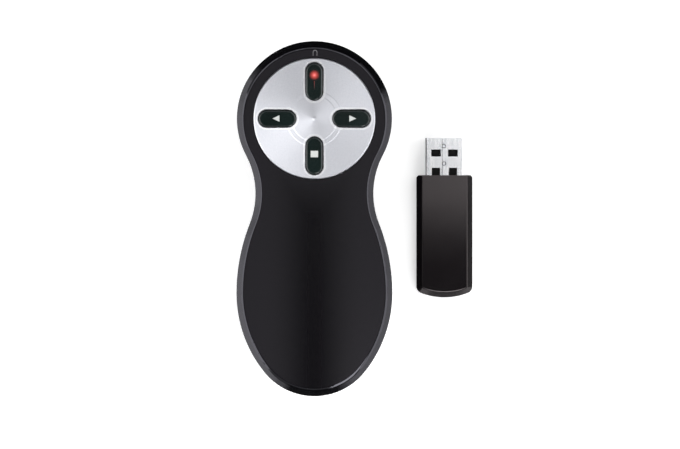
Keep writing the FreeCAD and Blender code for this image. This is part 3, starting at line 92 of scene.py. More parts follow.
def grain(material, size_mm, detail=2.0, stretch=(1, 1, 1)):
    """Noise whose grains have a real size."""
    place = add_node(material, "Mapping", {"Vector": object_place(material), "Scale": stretch})
    return add_node(material, "TexNoise", {
        "Vector": place.outputs["Vector"], "Scale": 1 / (size_mm * MM), "Detail": detail, "Roughness": 0.55,
    }).outputs["Fac"]


def blend_colours(material, shader, factor, stops):
    """Colour a shader from a factor, by stops of position and hex colour."""
    ramp = add_node(material, "ValToRGB", {"Fac": factor})
    elements = ramp.color_ramp.elements
    while len(elements) < len(stops):
        elements.new(1.0)
    for element, (position, hex_code) in zip(elements, stops):
        element.position = position
        element.color = paint(hex_code)
    material.node_tree.links.new(ramp.outputs["Color"], shader.inputs["Base Color"])
    return ramp


def raise_surface(material, shader, height, depth_mm):
    """Give a surface fine relief of a real depth."""
    bump = add_node(material, "Bump", {"Height": height, "Distance": depth_mm * MM})
    material.node_tree.links.new(bump.outputs["Normal"], shader.inputs["Normal"])


def vary_roughness(material, shader, factor, low, high):
    """Let a factor lead the roughness from low to high."""
    spread = add_node(material, "MapRange", {"Value": factor, "To Min": low, "To Max": high})
    material.node_tree.links.new(spread.outputs["Result"], shader.inputs["Roughness"])


# Plastics

def textured_abs(name, dark, light, grain_mm=0.16):
    """Spark-textured moulded ABS: a dry black with a fine even grain that breaks up every reflection."""
    material, shader = new_finish(name, {"Roughness": 0.62, "Specular IOR Level": 0.3})
    spark = grain(material, grain_mm)
    blend_colours(material, shader, spark, [(0.3, dark), (0.7, light)])
    raise_surface(material, shader, spark, 0.01)
    return material


# Half the width of the darker middle stretch of the grip, whose dark colour is painted shade, and the stretch
# over which it fades out towards the head
DARK_MIDDLE_HALF_WIDTH = 17.0 * MM
DARK_MIDDLE_FADE_START, DARK_MIDDLE_FADE_END = -32.0 * MM, -8.0 * MM


def soft_touch_paint():
    """Rubber-feel matt paint on ABS: almost no shine, powder-fine, and smoother down the middle of the grip,
    where its colour is also darker as painted shade.
    """
    material, shader = new_finish("soft_touch_paint", {"Roughness": 0.6, "Specular IOR Level": 0.16})
    place = add_node(material, "SeparateXYZ", {"Vector": object_place(material)}).outputs
    sideways = add_node(material, "MapRange", {
        "Value": add_node(material, "Math", {0: place["X"]}, operation="ABSOLUTE").outputs[0],
        "From Min": 0.0, "From Max": DARK_MIDDLE_HALF_WIDTH,
    }, interpolation_type="SMOOTHSTEP").outputs["Result"]
    toward_head = add_node(material, "MapRange", {
        "Value": place["Y"], "From Min": DARK_MIDDLE_FADE_START, "From Max": DARK_MIDDLE_FADE_END,
    }, interpolation_type="SMOOTHSTEP").outputs["Result"]
    outside_dark_middle = add_node(material, "Math", {0: sideways, 1: toward_head}, operation="MAXIMUM").outputs[0]
    powder = grain(material, 0.22)
    speckle = add_node(material, "MapRange", {
        "Value": powder, "To Min": -0.12, "To Max": 0.12,
    }).outputs["Result"]
    depth = add_node(material, "Math", {0: outside_dark_middle, 1: speckle}, operation="ADD").outputs[0]
    # Near black along the middle and dark grey at the sides: the darker middle is painted shade, standing in
    # for the dark reflection down the grip
    blend_colours(material, shader, depth, [(0.0, "#040306"), (1.0, "#110f14")])
    vary_roughness(material, shader, outside_dark_middle, 0.26, 0.6)
    raise_surface(material, shader, powder, 0.006)
    return material


def polished_abs(name, dark, light, roughness, tint="#ffffff", shine=0.5):
    """Polished moulded ABS: a clear glossy black with the faint ripple of a moulded surface."""
    material, shader = new_finish(name, {
        "Roughness": roughness, "Specular Tint": paint(tint), "Specular IOR Level": shine,
    })
    ripple = grain(material, 6.0, detail=0.0)
    blend_colours(material, shader, ripple, [(0.3, dark), (0.7, light)])
    raise_surface(material, shader, ripple, 0.004)
    return material


def moulded_nylon(name, dark, light, shine=0.5):
    """Plain moulded nylon: satin, with soft cloudy flow marks."""
    material, shader = new_finish(name, {"Roughness": 0.5, "Specular IOR Level": shine})
    clouds = grain(material, 1.5)
    blend_colours(material, shader, clouds, [(0.3, dark), (0.7, light)])
    raise_surface(material, shader, grain(material, 0.2), 0.004)
    return material


def smoked_acrylic():
    """Smoked acrylic: dark red-brown, clear enough to hint at the lens behind."""
    material, shader = new_finish("smoked_acrylic", {"Roughness": 0.04, "Transmission Weight": 0.8})
    blend_colours(material, shader, grain(material, 2.0), [(0.3, "#2a0c0c"), (0.7, "#3a1211")])
    return material


# Metals

# The plate's shallow dish, drawn a little deeper than it is cut so that it shows
DISH_SLOPE = math.tan(math.radians(1.8))
# The gap round each key, and the width of the painted highlight that stands for the bright cut edge round
# that gap
SLOT_EDGE = 0.25 * MM
EDGE_HIGHLIGHT_WIDTH = 0.22 * MM
RING_PITCH = 0.12 * MM
DRAW_GRAIN_MM = 0.4


def near_key_slots(material, place):
    """One at the edge of the four key slots, falling to zero a highlight's width away: the mask of the
    painted highlight round the slots.
    """
    low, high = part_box("laser_key")
    radius = (high.x - low.x) / 2
    middle, straight = (low.y + high.y) / 2, (high.y - low.y) / 2 - radius
    x, y = (add_node(material, "Math", {0: place[axis]}, operation="ABSOLUTE").outputs[0] for axis in "XY")
    outward = add_node(material, "Math", {0: x, 1: y}, operation="MAXIMUM").outputs[0]
    sideways = add_node(material, "Math", {0: x, 1: y}, operation="MINIMUM").outputs[0]
    from_middle = add_node(material, "Math", {0: outward, 1: middle}, operation="SUBTRACT").outputs[0]
    off_middle = add_node(material, "Math", {0: from_middle}, operation="ABSOLUTE").outputs[0]
    past_end = add_node(material, "Math", {0: off_middle, 1: straight}, operation="SUBTRACT").outputs[0]
    beyond = add_node(material, "Math", {0: past_end, 1: 0.0}, operation="MAXIMUM").outputs[0]
    corner = add_node(material, "CombineXYZ", {"X": beyond, "Y": sideways}).outputs[0]
    distance = add_node(material, "VectorMath", {0: corner}, operation="LENGTH").outputs["Value"]
    return add_node(material, "MapRange", {
        "Value": distance, "From Min": radius + SLOT_EDGE + EDGE_HIGHLIGHT_WIDTH, "From Max": radius + SLOT_EDGE,
    }).outputs["Result"]


def spun_aluminium():
    """Spin-brushed, lacquered aluminium: fine rings round the centre that fan the light out like a disc."""
    material, shader = new_finish("spun_aluminium", {
        "Metallic": 1.0, "Roughness": 0.34, "Anisotropic": 0.55, "Anisotropic Rotation": 0.25,
    })
    place = add_node(material, "SeparateXYZ", {"Vector": object_place(material)}).outputs
    across = add_node(material, "Math", {0: place["X"], 1: place["X"]}, operation="MULTIPLY").outputs[0]
    square = add_node(material, "Math", {0: place["Y"], 1: place["Y"], 2: across}, operation="MULTIPLY_ADD")
    radius = add_node(material, "Math", {0: square.outputs[0]}, operation="SQRT").outputs[0]
    turn = add_node(material, "Math", {0: place["Y"], 1: place["X"]}, operation="ARCTAN2").outputs[0]
    # Rings a pitch apart, each broken into long strokes along the turn
    slow_turn = add_node(material, "Math", {0: turn, 1: 2.0 * MM}, operation="MULTIPLY").outputs[0]
    rings = add_node(material, "CombineXYZ", {"X": radius, "Y": slow_turn}).outputs[0]
    strokes = add_node(material, "TexNoise", {
        "Vector": rings, "Scale": 1 / RING_PITCH, "Detail": 3.0, "Roughness": 0.6,
    }).outputs["Fac"]
    # A painted highlight: the plate's colour is lifted towards white along the edge of each key slot,
    # standing in for the cut edge's bright reflection
    edge_highlight = near_key_slots(material, place)
    shade = add_node(material, "Math", {0: edge_highlight, 1: 0.32, 2: strokes}, operation="MULTIPLY_ADD").outputs[0]
    blend_colours(material, shader, shade, [(0.25, "#d0d2d9"), (0.75, "#e3e4ea"), (1.0, "#ffffff")])
    tangent = add_node(material, "Tangent", direction_type="RADIAL", axis="Z")
    material.node_tree.links.new(tangent.outputs["Tangent"], shader.inputs["Tangent"])
    dish = add_node(material, "Bump", {"Height": radius, "Distance": DISH_SLOPE})
    relief = add_node(material, "Bump", {
        "Height": strokes, "Distance": 0.002 * MM, "Normal": dish.outputs["Normal"],
    })
    material.node_tree.links.new(relief.outputs["Normal"], shader.inputs["Normal"])
    return material


def plated_metal(name, dark, light, roughness):
    """Plated or drawn metal: bright, with a faint draw grain along its length."""
    material, shader = new_finish(name, {"Metallic": 1.0, "Roughness": roughness})
    draw_grain = grain(material, DRAW_GRAIN_MM, stretch=(1, 0.08, 1))
    blend_colours(material, shader, draw_grain, [(0.3, dark), (0.7, light)])
    vary_roughness(material, shader, draw_grain, roughness * 0.8, roughness * 1.2)
    return material


# Electronics

def solder_mask(name):
    """Solder-masked board: glossy green over faint straight copper tracks."""
    material, shader = new_finish(name, {"Roughness": 0.35})
    place = object_place(material)
    tracks = add_node(material, "TexBrick", {
        "Vector": place, "Scale": 1.0,
        "Mortar Size": 0.25 * MM, "Brick Width": 3.1 * MM, "Row Height": 1.3 * MM,
        "Color1": (0, 0, 0, 1), "Color2": (0.2, 0.2, 0.2, 1), "Mortar": (1, 1, 1, 1),
    })
    blend_colours(material, shader, tracks.outputs["Color"], [(0.0, "#0d3b22"), (1.0, "#1d5a35")])
    raise_surface(material, shader, tracks.outputs["Color"], 0.02)
    return material


# Where the two cells lie along the grip
CELL_START, CELL_END = -73.0 * MM, -25.0 * MM


def cell_sleeve():
    """Printed shrink sleeve on a dry cell: satin charcoal with a copper end band, no lettering."""
    material, shader = new_finish("cell_sleeve", {"Metallic": 0.6, "Roughness": 0.3})
    length = add_node(material, "SeparateXYZ", {"Vector": object_place(material)}).outputs["Y"]
    along = add_node(material, "MapRange", {
        "Value": length, "From Min": CELL_START, "From Max": CELL_END,
    }).outputs["Result"]
    ramp = blend_colours(material, shader, along, [(0.0, "#23262b"), (0.7, "#23262b"), (0.71, "#b0713a")])
    ramp.color_ramp.interpolation = "CONSTANT"
    return material


def optical_glass():
    """Moulded optical glass: clear and colourless, with a sharp clean reflection."""
    material, shader = new_finish("optical_glass", {"Roughness": 0.0, "Transmission Weight": 1.0})
    blend_colours(material, shader, grain(material, 3.0), [(0.3, "#eef3f6"), (0.7, "#f6fafc")])
    return material


# Printed marks

def pad_print(name, hex_code):
    """Pad-printed ink: flat, slightly chalky, laid thinly on the glossy key."""
    material, shader = new_finish(name, {"Roughness": 0.45})
    speckle = grain(material, 0.12)
    ramp = blend_colours(material, shader, speckle, [(0.2, hex_code), (0.8, hex_code)])
    red, green, blue, _ = paint(hex_code)
    ramp.color_ramp.elements[0].color = (red * 0.9, green * 0.9, blue * 0.9, 1.0)
    return material


KEY_COLOURS = ("#0f1716", "#131d1c")
KEY_ROUGHNESS = 0.1
# The radius at which the laser spot has faded into its key
SPOT_FADE = 1.75 * MM


def spot_print(centre):
    """Printed laser spot: a pale pink core that fades through red into the key's own black."""
    material, shader = new_finish("spot_print", {"Roughness": KEY_ROUGHNESS})
    offset = add_node(material, "Mapping", {"Vector": object_place(material), "Location": -centre})
    distance = add_node(material, "VectorMath", {0: offset.outputs["Vector"]}, operation="LENGTH")
    share = add_node(material, "MapRange", {"Value": distance.outputs["Value"], "From Max": SPOT_FADE})
    blend_colours(material, shader, share.outputs["Result"], [
        (0.0, "#ffb0ac"), (0.14, "#ec706c"), (0.38, "#b84a45"), (0.64, "#7c322f"), (0.84, "#38201f"),
        (1.0, KEY_COLOURS[0]),
    ])
    return material


def beam_print(top, bottom):
    """Printed laser beam: a thin dull red line that fades away from the spot."""
    material, shader = new_finish("beam_print", {"Roughness": KEY_ROUGHNESS})
    along = add_node(material, "SeparateXYZ", {"Vector": object_place(material)}).outputs["Y"]
    share = add_node(material, "MapRange", {"Value": along, "From Min": bottom, "From Max": top})
    blend_colours(material, shader, share.outputs["Result"], [
        (0.0, KEY_COLOURS[1]), (0.3, "#3c2624"), (1.0, "#6e302d"),
    ])
    return material


FINISHES = {
    "housing": textured_abs("housing_abs", "#1b191b", "#272427"),
    "cover": soft_touch_paint(),
    "band": polished_abs("band_abs", "#050506", "#08080a", 0.09, tint="#e6e4f2"),
    "plate": spun_aluminium(),
    "key": polished_abs("key_acrylic", *KEY_COLOURS, KEY_ROUGHNESS),
    "nylon": moulded_nylon("black_nylon", "#161617", "#232325"),
    "board": solder_mask("green_solder_mask"),
    "chip": textured_abs("chip_epoxy", "#17181a", "#222326", grain_mm=0.1),
    "can": plated_metal("plated_can", "#b9b9b4", "#cfcfca", 0.28),
    "screw": plated_metal("zinc_plate", "#a9a9a8", "#c4c4c2", 0.32),
    "brass": plated_metal("turned_brass", "#a67f38", "#c79d4e", 0.28),
    "gold": plated_metal("gold_flash", "#c79a45", "#dcb262", 0.2),
    "nickel": plated_metal("nickel_plate", "#c2c2be", "#d8d8d5", 0.25),
    "lens": optical_glass(),
    "window": smoked_acrylic(),
    "cell": cell_sleeve(),
    "receiver": polished_abs("receiver_abs", "#070507", "#0b090b", 0.2, tint="#fff4f5", shine=0.4),
    "plug": plated_metal("drawn_steel", "#d2d4d8", "#e8e8ea", 0.22),
    "insulator": moulded_nylon("plug_insulator", "#030303", "#060606", shine=0.1),
}

NODE_FINISHES = {
    "lower_housing": "housing", "rim_band": "band", "top_cover": "cover", "button_plate": "plate",
    "laser_key": "key", "back_key": "key", "blank_key": "key", "forward_key": "key",
    "laser_plunger": "nylon", "back_plunger": "nylon", "blank_plunger": "nylon", "forward_plunger": "nylon",
    "main_board": "board", "tact_switches": "nylon", "radio_chip": "chip", "board_crystal": "can",
    "board_screws": "screw", "housing_screws": "screw", "laser_barrel": "brass", "laser_lens": "lens",
    "laser_diode": "gold", "laser_window": "window", "battery_left": "cell", "battery_right": "cell",
    "negative_contact": "nickel", "positive_contact": "nickel", "bridge_contact": "nickel",
    "head_spring": "nickel", "tail_spring": "nickel", "battery_door": "housing", "power_slider": "nylon",
    "power_switch_body": "can", "receiver_sleeve": "housing", "receiver_bottom_shell": "receiver",
    "receiver_top_shell": "receiver", "usb_shell": "plug", "usb_tongue": "insulator", "usb_contacts": "gold",
    "receiver_board": "board", "receiver_chip": "chip", "receiver_crystal": "can",
}


def dress_nodes():
    """Give each node of the CAD model its finish."""
    for name, finish in NODE_FINISHES.items():
        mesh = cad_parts[name].data
        mesh.materials.clear()
        mesh.materials.append(FINISHES[finish])


# Marks on the keys, the cover, the plug and the back

PRINT_THICKNESS = 0.02 * MM
# A four-sided cylinder turned by this lies square to the axes
EIGHTH_TURN = math.pi / 4

# Printed on the keys: each arrow lies a little off its key's middle, on the side that it points to,
# and the square as far off its own, towards the dial's centre
MARK_OFF_MIDDLE = 0.45 * MM
ARROW_WIDTH, ARROW_LENGTH = 2.15 * MM, 2.02 * MM
SQUARE_WIDTH, SQUARE_LENGTH = 2.3 * MM, 2.0 * MM
SPOT_DIAMETER = 3.6 * MM
SPOT_OFF_MIDDLE = 2.0 * MM
BEAM_WIDTH, BEAM_LENGTH = 0.28 * MM, 2.6 * MM
BEAM_FROM_SPOT = 1.85 * MM

# Printed between the nose and the dial
ARCH_RADIUS, ARCH_STROKE, ARCH_LEG = 0.58 * MM, 0.24 * MM, 1.1 * MM
ARCH_X, ARCH_Y = 0.2 * MM, 20.4 * MM

# On the plug
SEAM_X = 39.64 * MM
SEAM_WIDTH = 0.18 * MM
SEAM_FROM_TIP = 0.4 * MM
LOCK_RADIUS, LOCK_STROKE = 0.55 * MM, 0.2 * MM
LOCKS_FROM_TIP = (2.52 * MM, 7.95 * MM)

# On the back
WORD_SIZE = 2.0 * MM
WORD_OFF_MIDDLE = 2.7 * MM
WORD_BELOW_SWITCH = 2.3 * MM
THUMB_REST_DEPTH = 0.5 * MM
THUMB_REST_INSET = 5.8 * MM
DOOR_ARROW_WIDTH, DOOR_ARROW_LENGTH = 3.4 * MM, 2.6 * MM


def start_piece():
    """Deselect everything, so that the next operators act on the new piece alone."""
    bpy.ops.object.select_all(action="DESELECT")


def finish_piece(piece, name, body, material):
    """Name a piece, settle its place in its mesh, dress it and let it ride on its body."""
    bpy.ops.object.transform_apply(location=True, rotation=True, scale=True)
    piece.name = name
    piece.data.materials.append(material)
    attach(piece, body)
    return piece


def flat_mark(name, body, material, centre, width, length, sides=4, turn=0.0, corner_mm=0.08):
    """A thin printed shape with softly rounded corners, laid on what carries it."""
    start_piece()
    bpy.ops.mesh.primitive_cylinder_add(vertices=sides, radius=1, depth=1, rotation=(0, 0, turn))
    piece = bpy.context.object
    bpy.ops.object.transform_apply(location=False, rotation=True, scale=False)
    piece.dimensions = (width, length, PRINT_THICKNESS)
    bpy.context.view_layer.update()
    bpy.ops.object.transform_apply(location=False, rotation=False, scale=True)
    corners = [vertex.co for vertex in piece.data.vertices]
    middle = Vector([(min(c[i] for c in corners) + max(c[i] for c in corners)) / 2 for i in range(3)])
    piece.location = Vector(centre) - middle + Vector((0, 0, PRINT_THICKNESS / 2))
    bpy.ops.object.mode_set(mode="EDIT")
    bpy.ops.mesh.select_all(action="DESELECT")
    bpy.ops.object.mode_set(mode="OBJECT")
    for edge in piece.data.edges:
        one, two = (piece.data.vertices[index].co for index in edge.vertices)
        edge.select = abs(one.z - two.z) > PRINT_THICKNESS / 2
    bpy.ops.object.mode_set(mode="EDIT")
    bpy.ops.mesh.bevel(offset=corner_mm * MM, segments=3, affect="EDGES")
    bpy.ops.object.mode_set(mode="OBJECT")
    return finish_piece(piece, name, body, material)


def key_top(name):
    """The middle of a key's top."""
    low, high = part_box(name)
    return Vector(((low.x + high.x) / 2, (low.y + high.y) / 2, high.z))


def add_key_marks():
    """The two arrows and the square, which say back, forward and blank screen."""
    ink = pad_print("white_ink", "#c4c7c5")
    for name, side in (("back_key", -1), ("forward_key", 1)):
        centre = key_top(name) + Vector((side * MARK_OFF_MIDDLE, 0, 0))
        flat_mark(name.replace("key", "arrow"), name, ink, centre,
                  ARROW_WIDTH, ARROW_LENGTH, sides=3, turn=-side * math.pi / 2)
    centre = key_top("blank_key") + Vector((0, MARK_OFF_MIDDLE, 0))
    flat_mark("blank_square", "blank_key", ink, centre,
              SQUARE_WIDTH, SQUARE_LENGTH, turn=EIGHTH_TURN, corner_mm=0.05)


def add_laser_mark():
    """The red spot on the laser key and its beam, which points away from the nose."""
    spot = key_top("laser_key") + Vector((0, SPOT_OFF_MIDDLE, 0))
    flat_mark("laser_spot", "laser_key", spot_print(spot), spot,
              SPOT_DIAMETER, SPOT_DIAMETER, sides=48, corner_mm=0.005)
    beam = spot - Vector((0, BEAM_FROM_SPOT + BEAM_LENGTH / 2, 0))
    ink = beam_print(beam.y + BEAM_LENGTH / 2, beam.y - BEAM_LENGTH / 2)
    flat_mark("laser_beam", "laser_key", ink, beam,
              BEAM_WIDTH, BEAM_LENGTH, turn=EIGHTH_TURN, corner_mm=0.05)


def thin_ring(radius, stroke, centre):
    """Start a ring as flat as print, round a place on the surface under it."""
    start_piece()
    bpy.ops.mesh.primitive_torus_add(
        major_radius=radius, minor_radius=stroke / 2, major_segments=40, minor_segments=8)
    ring = bpy.context.object
    ring.scale.z = PRINT_THICKNESS / stroke
    ring.location = centre
    return ring


def add_arch_mark():
    """The small grey arch printed between the nose and the dial."""
    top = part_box("top_cover")[1].z
    arch = thin_ring(ARCH_RADIUS, ARCH_STROKE, Vector((ARCH_X, ARCH_Y, top)))
    bpy.ops.object.transform_apply(location=False, rotation=False, scale=True)
    bpy.ops.object.mode_set(mode="EDIT")
    bpy.ops.mesh.select_all(action="SELECT")
    bpy.ops.mesh.bisect(plane_co=arch.location, plane_no=(0, -1, 0), clear_outer=True)
    bpy.ops.mesh.extrude_edges_move(TRANSFORM_OT_translate={"value": (0, -ARCH_LEG, 0)})
    bpy.ops.mesh.select_all(action="SELECT")
    bpy.ops.mesh.fill_holes(sides=0)
    bpy.ops.mesh.normals_make_consistent(inside=False)
    bpy.ops.object.mode_set(mode="OBJECT")
    finish_piece(arch, "arch_mark", "handset", pad_print("grey_ink", "#6a696c"))


def add_plug_seam():
    """The seam where the plug's rolled shell meets, and the two round locks on it."""
    shadow = plated_metal("seam_shadow", "#2e2f32", "#3c3d40", 0.6)
    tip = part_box("usb_shell")[1]
    front, back = tip.y - SEAM_FROM_TIP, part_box("receiver_top_shell")[1].y
    flat_mark("plug_seam", "receiver", shadow, (SEAM_X, (front + back) / 2, tip.z),
              SEAM_WIDTH, front - back, turn=EIGHTH_TURN, corner_mm=0.02)
    for number, from_tip in enumerate(LOCKS_FROM_TIP, start=1):
        ring = thin_ring(LOCK_RADIUS, LOCK_STROKE, Vector((SEAM_X + LOCK_RADIUS, tip.y - from_tip, tip.z)))
        finish_piece(ring, f"plug_lock_{number}", "receiver", shadow)


def add_switch_words():
    """ON and OFF printed beside the power switch, to be read from the back."""
    ink = pad_print("back_ink", "#a4a5a8")
    tail_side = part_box("power_slider")[0].y
    for word, side in (("ON", 1), ("OFF", -1)):
        start_piece()
        bpy.ops.object.text_add(rotation=(0, math.pi, 0))
        text = bpy.context.object
        text.data.body = word
        text.data.size = WORD_SIZE
        text.data.align_x = "CENTER"
        text.data.extrude = PRINT_THICKNESS / 2
        bpy.ops.object.convert(target="MESH")
        piece = bpy.context.object
        piece.location = (side * WORD_OFF_MIDDLE, tail_side - WORD_BELOW_SWITCH, 0)
        finish_piece(piece, "word_" + word.lower(), "handset", ink)


def add_door_arrow():
    """The arrow in the thumb rest of the battery door, which says where to push."""
    ink = pad_print("door_ink", "#7d7e81")
    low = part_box("battery_door")[0]
    floor = low.z + THUMB_REST_DEPTH
    centre = Vector((0, low.y + THUMB_REST_INSET, floor - PRINT_THICKNESS))
    flat_mark("door_arrow", "battery_door", ink, centre,
              DOOR_ARROW_WIDTH, DOOR_ARROW_LENGTH, sides=3)


# Housing screws

SCREW_HEAD_RADIUS = 1.8 * MM
SCREW_HEAD_HEIGHT = 1.3 * MM
SCREW_HEAD_ROUND = 0.4 * MM
SCREW_RADIUS = 1.0 * MM
CROSS_WIDTH, CROSS_SPAN, CROSS_DEPTH = 0.5 * MM, 2.2 * MM, 0.8 * MM
HEAD_SCREW_X, HEAD_SCREW_Y = 16.0 * MM, 0.0
GRIP_SCREW_Y = -52.0 * MM


def pick_faces(piece, wanted):
    """Select a mesh's faces that a test wants, and no others, and stay in edit mode."""
    bpy.ops.object.mode_set(mode="EDIT")
    bpy.ops.mesh.select_mode(type="FACE")
    bpy.ops.mesh.select_all(action="DESELECT")
    bpy.ops.object.mode_set(mode="OBJECT")
    for face in piece.data.polygons:
        face.select = wanted(face)
    bpy.ops.object.mode_set(mode="EDIT")


def cut_slot(piece, place, width, length, depth):
    """Cut a slot into a piece from below."""
    start_piece()
    bpy.ops.mesh.primitive_cube_add(size=1, location=place, scale=(width, length, depth * 2))
    cutter = bpy.context.object
    slot = piece.modifiers.new("slot", "BOOLEAN")
    slot.operation = "DIFFERENCE"
    slot.solver = "EXACT"
    slot.object = cutter
    bpy.context.view_layer.objects.active = piece
    bpy.ops.object.modifier_apply(modifier=slot.name)
    bpy.data.objects.remove(cutter)


def add_housing_screw(name, x, y, bottom, top):
    """A pan-head screw that points up, with a cross recess in its head."""
    start_piece()
    bpy.ops.mesh.primitive_cylinder_add(
        vertices=48, radius=SCREW_HEAD_RADIUS, depth=SCREW_HEAD_HEIGHT,
        location=(x, y, bottom + SCREW_HEAD_HEIGHT / 2))
    screw = bpy.context.object
    pick_faces(screw, lambda face: face.normal.z > 0.9)
    bpy.ops.mesh.inset(thickness=SCREW_HEAD_RADIUS - SCREW_RADIUS)
    bpy.ops.mesh.extrude_region_move(
        TRANSFORM_OT_translate={"value": (0, 0, top - bottom - SCREW_HEAD_HEIGHT)})
    pick_faces(screw, lambda face: face.normal.z < -0.9)
    bpy.ops.mesh.bevel(offset=SCREW_HEAD_ROUND, segments=5, affect="EDGES")
    bpy.ops.object.mode_set(mode="OBJECT")
    for width, length in ((CROSS_WIDTH, CROSS_SPAN), (CROSS_SPAN, CROSS_WIDTH)):
        cut_slot(screw, (x, y, bottom), width, length, CROSS_DEPTH)
    start_piece()
    screw.select_set(True)
    bpy.ops.object.shade_smooth_by_angle(angle=math.radians(30))
    finish_piece(screw, name, "handset", FINISHES["screw"])
    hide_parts("housing_screws")


def add_housing_screws():
    """The four housing screws with recessed heads, where the plain ones are."""
    low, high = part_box("housing_screws")
    grip_x = high.x - SCREW_HEAD_RADIUS
    for row, x, y in (("head", HEAD_SCREW_X, HEAD_SCREW_Y), ("grip", grip_x, GRIP_SCREW_Y)):
        for side, way in (("right", 1), ("left", -1)):
            add_housing_screw(f"{row}_screw_{side}", way * x, y, low.z, high.z)


def add_marks():
    """Every printed mark, and the plug's seam and locks."""
    add_key_marks()
    add_laser_mark()
    add_arch_mark()
    add_plug_seam()
    add_switch_words()
    add_door_arrow()


# Floor, lamps and camera

FLOOR_SIZE = 6.0
SURROUND_STRENGTH = 0.6
# The glow that lifts the lit floor to white where it is looked at or mirrored
FLOOR_LIFT = 0.38
# Half of a card's width before it is stretched
CARD_HALF = 0.5
LOW_BOX_DISTANCE = 0.5
CAMERA_DISTANCE = 1.5


def add_floor():
    """The white floor that the clicker lies on."""
    start_piece()
    bpy.ops.mesh.primitive_plane_add(size=FLOOR_SIZE, location=(PICTURE_CENTRE.x, PICTURE_CENTRE.y, 0))
    floor = bpy.context.object
    floor.name = "floor"
    floor.data.materials.append(white_paper())


def white_paper():
    """White paper: matt, and lifted to white where it is looked at or mirrored, so that only shadow shows."""
    material, shader = new_finish("white_paper", {"Roughness": 0.9, "Specular IOR Level": 0.0})
    blend_colours(material, shader, grain(material, 2.0), [(0.3, "#f6f6f6"), (0.7, "#fafafa")])
    path = add_node(material, "LightPath").outputs
    mirrored = add_node(material, "Math", {
        0: path["Is Glossy Ray"], 1: path["Is Transmission Ray"],
    }, operation="MAXIMUM")
    seen = add_node(material, "Math", {0: path["Is Camera Ray"], 1: mirrored.outputs[0]}, operation="MAXIMUM")
    lift = add_node(material, "Math", {0: seen.outputs[0], 1: FLOOR_LIFT}, operation="MULTIPLY")
    shader.inputs["Emission Color"].default_value = (1, 1, 1, 1)
    material.node_tree.links.new(lift.outputs[0], shader.inputs["Emission Strength"])
    # Seen from below it is clear, so that the back and the open battery door can be looked at
    below = add_node(material, "NewGeometry").outputs["Backfacing"]
    above = add_node(material, "Math", {0: 1.0, 1: below}, operation="SUBTRACT").outputs[0]
    material.node_tree.links.new(above, shader.inputs["Alpha"])
    return material


def aim(item, place, target):
    """Put a thing at a place and turn it to a target."""
    item.location = place
    item.rotation_euler = (Vector(target) - Vector(place)).to_track_quat("-Z", "Y").to_euler()


def add_softbox(name, place, width, height, radiance, target=PICTURE_CENTRE):
    """A rectangular lamp turned to a target, which the camera doesn't see."""
    lamp = bpy.data.lights.new(name, "AREA")
    lamp.shape = "RECTANGLE"
    lamp.size = width
    lamp.size_y = height
    lamp.energy = radiance * math.pi * width * height
    box = bpy.data.objects.new(name, lamp)
    bpy.context.scene.collection.objects.link(box)
    aim(box, place, target)
    box.visible_camera = False


def add_black_card(name, fade=0.0):
    """A black card of one metre, so that the gloss that mirrors it stays dark.

    Fade is the share of its width over which its +X end thins out, so that the dark ends softly in the gloss.
    """
    start_piece()
    bpy.ops.mesh.primitive_plane_add(size=2 * CARD_HALF)
    card = bpy.context.object
    card.name = name
    material, shader = new_finish(name + "_velvet", {"Base Color": paint("#030303"), "Roughness": 1.0})
    if fade:
        across = add_node(material, "SeparateXYZ", {"Vector": object_place(material)}).outputs["X"]
        cover = add_node(material, "MapRange", {
            "Value": across, "From Min": CARD_HALF, "From Max": CARD_HALF - fade,
        }).outputs["Result"]
        material.node_tree.links.new(cover, shader.inputs["Alpha"])
    card.data.materials.append(material)
    card.visible_camera = False
    return card


def hang_card(name, left, right, near, far, height):
    """Hang a level black card over the object."""
    card = add_black_card(name)
    card.location = ((left + right) / 2, (near + far) / 2, height)
    card.scale = (right - left, far - near, 1)


def stand_card(name, start, end, height, fade=0.0):
    """Stand a black card on the floor between two points. A fade is at its far end."""
    card = add_black_card(name, fade)
    one, two = Vector((*start, 0)), Vector((*end, 0))
    card.location = (one + two) / 2 + Vector((0, 0, height / 2))
    card.scale = ((two - one).length, height, 1)
    card.rotation_euler = (math.pi / 2, 0, math.atan2(two.y - one.y, two.x - one.x))


# The softboxes along one side: a row of three low ones that touch, and a high one above them
ROW_HEIGHT = 0.14
FIRST_BOX_LENGTH, SECOND_BOX_LENGTH = 0.75, 0.08
ROW_END = 0.32
HIGH_BOX_LENGTH, HIGH_BOX_HEIGHT = 0.7, 0.42
HIGH_BOX_Y, HIGH_BOX_Z = -0.15, 0.35


def add_side_lamps(side, x, radiances, start, high_radiance):
    """Low softboxes along one side, dimmer towards the nose, and a tall one above them."""
    level = ROW_HEIGHT / 2
    end = start - FIRST_BOX_LENGTH
    far_ends = (start, start + SECOND_BOX_LENGTH, ROW_END)
    for number, (radiance, far) in enumerate(zip(radiances, far_ends), start=1):
        middle = (end + far) / 2
        add_softbox(f"{side}_softbox_{number}", (x, middle, level), far - end, ROW_HEIGHT, radiance,
                    (0, middle, level))
        end = far
    add_softbox(f"{side}_high_softbox", (x, HIGH_BOX_Y, HIGH_BOX_Z), HIGH_BOX_LENGTH, HIGH_BOX_HEIGHT,
                high_radiance, (0, HIGH_BOX_Y, HIGH_BOX_Z))


def light_surround():
    """An even pale surround, white to the eye and dimmer for light and reflections."""
    world = bpy.data.worlds.new("studio")
    bpy.context.scene.world = world
    world.use_nodes = True
    surround = world.node_tree.nodes["Background"]
    surround.inputs["Color"].default_value = (1, 1, 1, 1)
    path = world.node_tree.nodes.new("ShaderNodeLightPath")
    strength = world.node_tree.nodes.new("ShaderNodeMapRange")
    strength.inputs["To Min"].default_value = SURROUND_STRENGTH
    world.node_tree.links.new(path.outputs["Is Camera Ray"], strength.inputs["Value"])
    world.node_tree.links.new(strength.outputs["Result"], surround.inputs["Strength"])


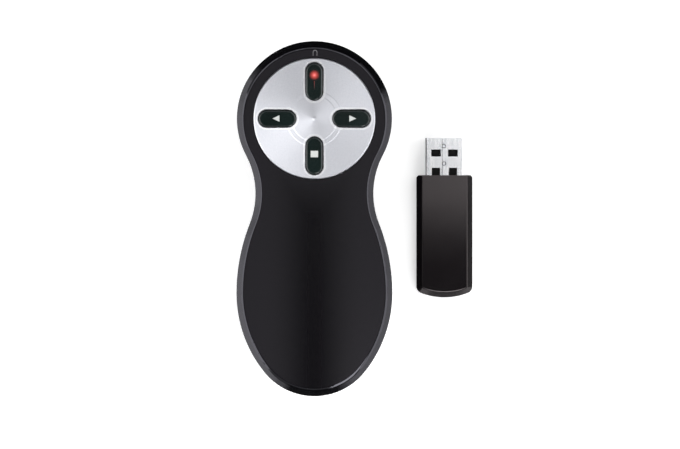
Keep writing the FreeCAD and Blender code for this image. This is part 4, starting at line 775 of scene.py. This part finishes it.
def light_object():
    """The studio: softboxes for the light, and black cards for the dark zones in the gloss."""
    light_surround()
    add_side_lamps("left", -LOW_BOX_DISTANCE, (1.45, 1.2, 0.9), 0.04, 3.0)
    add_side_lamps("right", LOW_BOX_DISTANCE, (0.9, 0.8, 0.7), -0.02, 2.6)
    add_softbox("head_softbox", (0.46, 0.38, 1.15), 0.8, 0.6, 1.65)
    add_softbox("left_head_softbox", (-0.55, 0.42, 1.05), 0.55, 0.4, 2.1)
    add_softbox("nose_softbox", (-0.1, 0.78, 0.98), 0.5, 0.34, 2.2)
    add_softbox("receiver_softbox", (0.17, 0.13, 1.3), 0.24, 0.24, 3.0)
    add_softbox("end_softbox", (0.045, -0.125, 0.09), 0.05, 0.06, 7.0, (0.04, -0.055, 0.007))
    hang_card("keys_card", -0.3, 0.045, -0.35, 0.11, 1.35)
    hang_card("receiver_card", 0.045, 0.36, -0.45, 0.005, 1.35)
    stand_card("nose_card", (0.2, 0.25), (-0.4, 0.25), 0.3, fade=0.25)
    stand_card("nose_right_card", (0.2, 0.25), (0.145, 0.03), 0.1, fade=0.2)
    stand_card("tail_left_card", (0, -0.4), (-0.195, -0.4), 0.32, fade=0.25)
    stand_card("tail_right_card", (0, -0.4), (0.21, -0.4), 0.32, fade=0.38)
    stand_card("end_card", (0.022, -0.113), (0.066, -0.113), 0.02)
    stand_card("edge_card", (0.128, -0.065), (0.128, -0.008), 0.016)


def add_camera():
    """A camera straight above, whose picture is as wide as the photograph's."""
    camera = bpy.data.cameras.new("camera")
    camera.sensor_width = 36.0
    camera.lens = camera.sensor_width * CAMERA_DISTANCE / (PHOTO_WIDTH_PIXELS * MM_PER_PIXEL * MM)
    camera.clip_start = 0.05
    camera.clip_end = 20.0
    eye = bpy.data.objects.new("camera", camera)
    bpy.context.scene.collection.objects.link(eye)
    eye.location = PICTURE_CENTRE + Vector((0, 0, CAMERA_DISTANCE))
    bpy.context.scene.camera = eye


dress_nodes()
add_marks()
add_housing_screws()
add_floor()
light_object()
add_camera()
bpy.context.scene.view_settings.view_transform = "Standard"
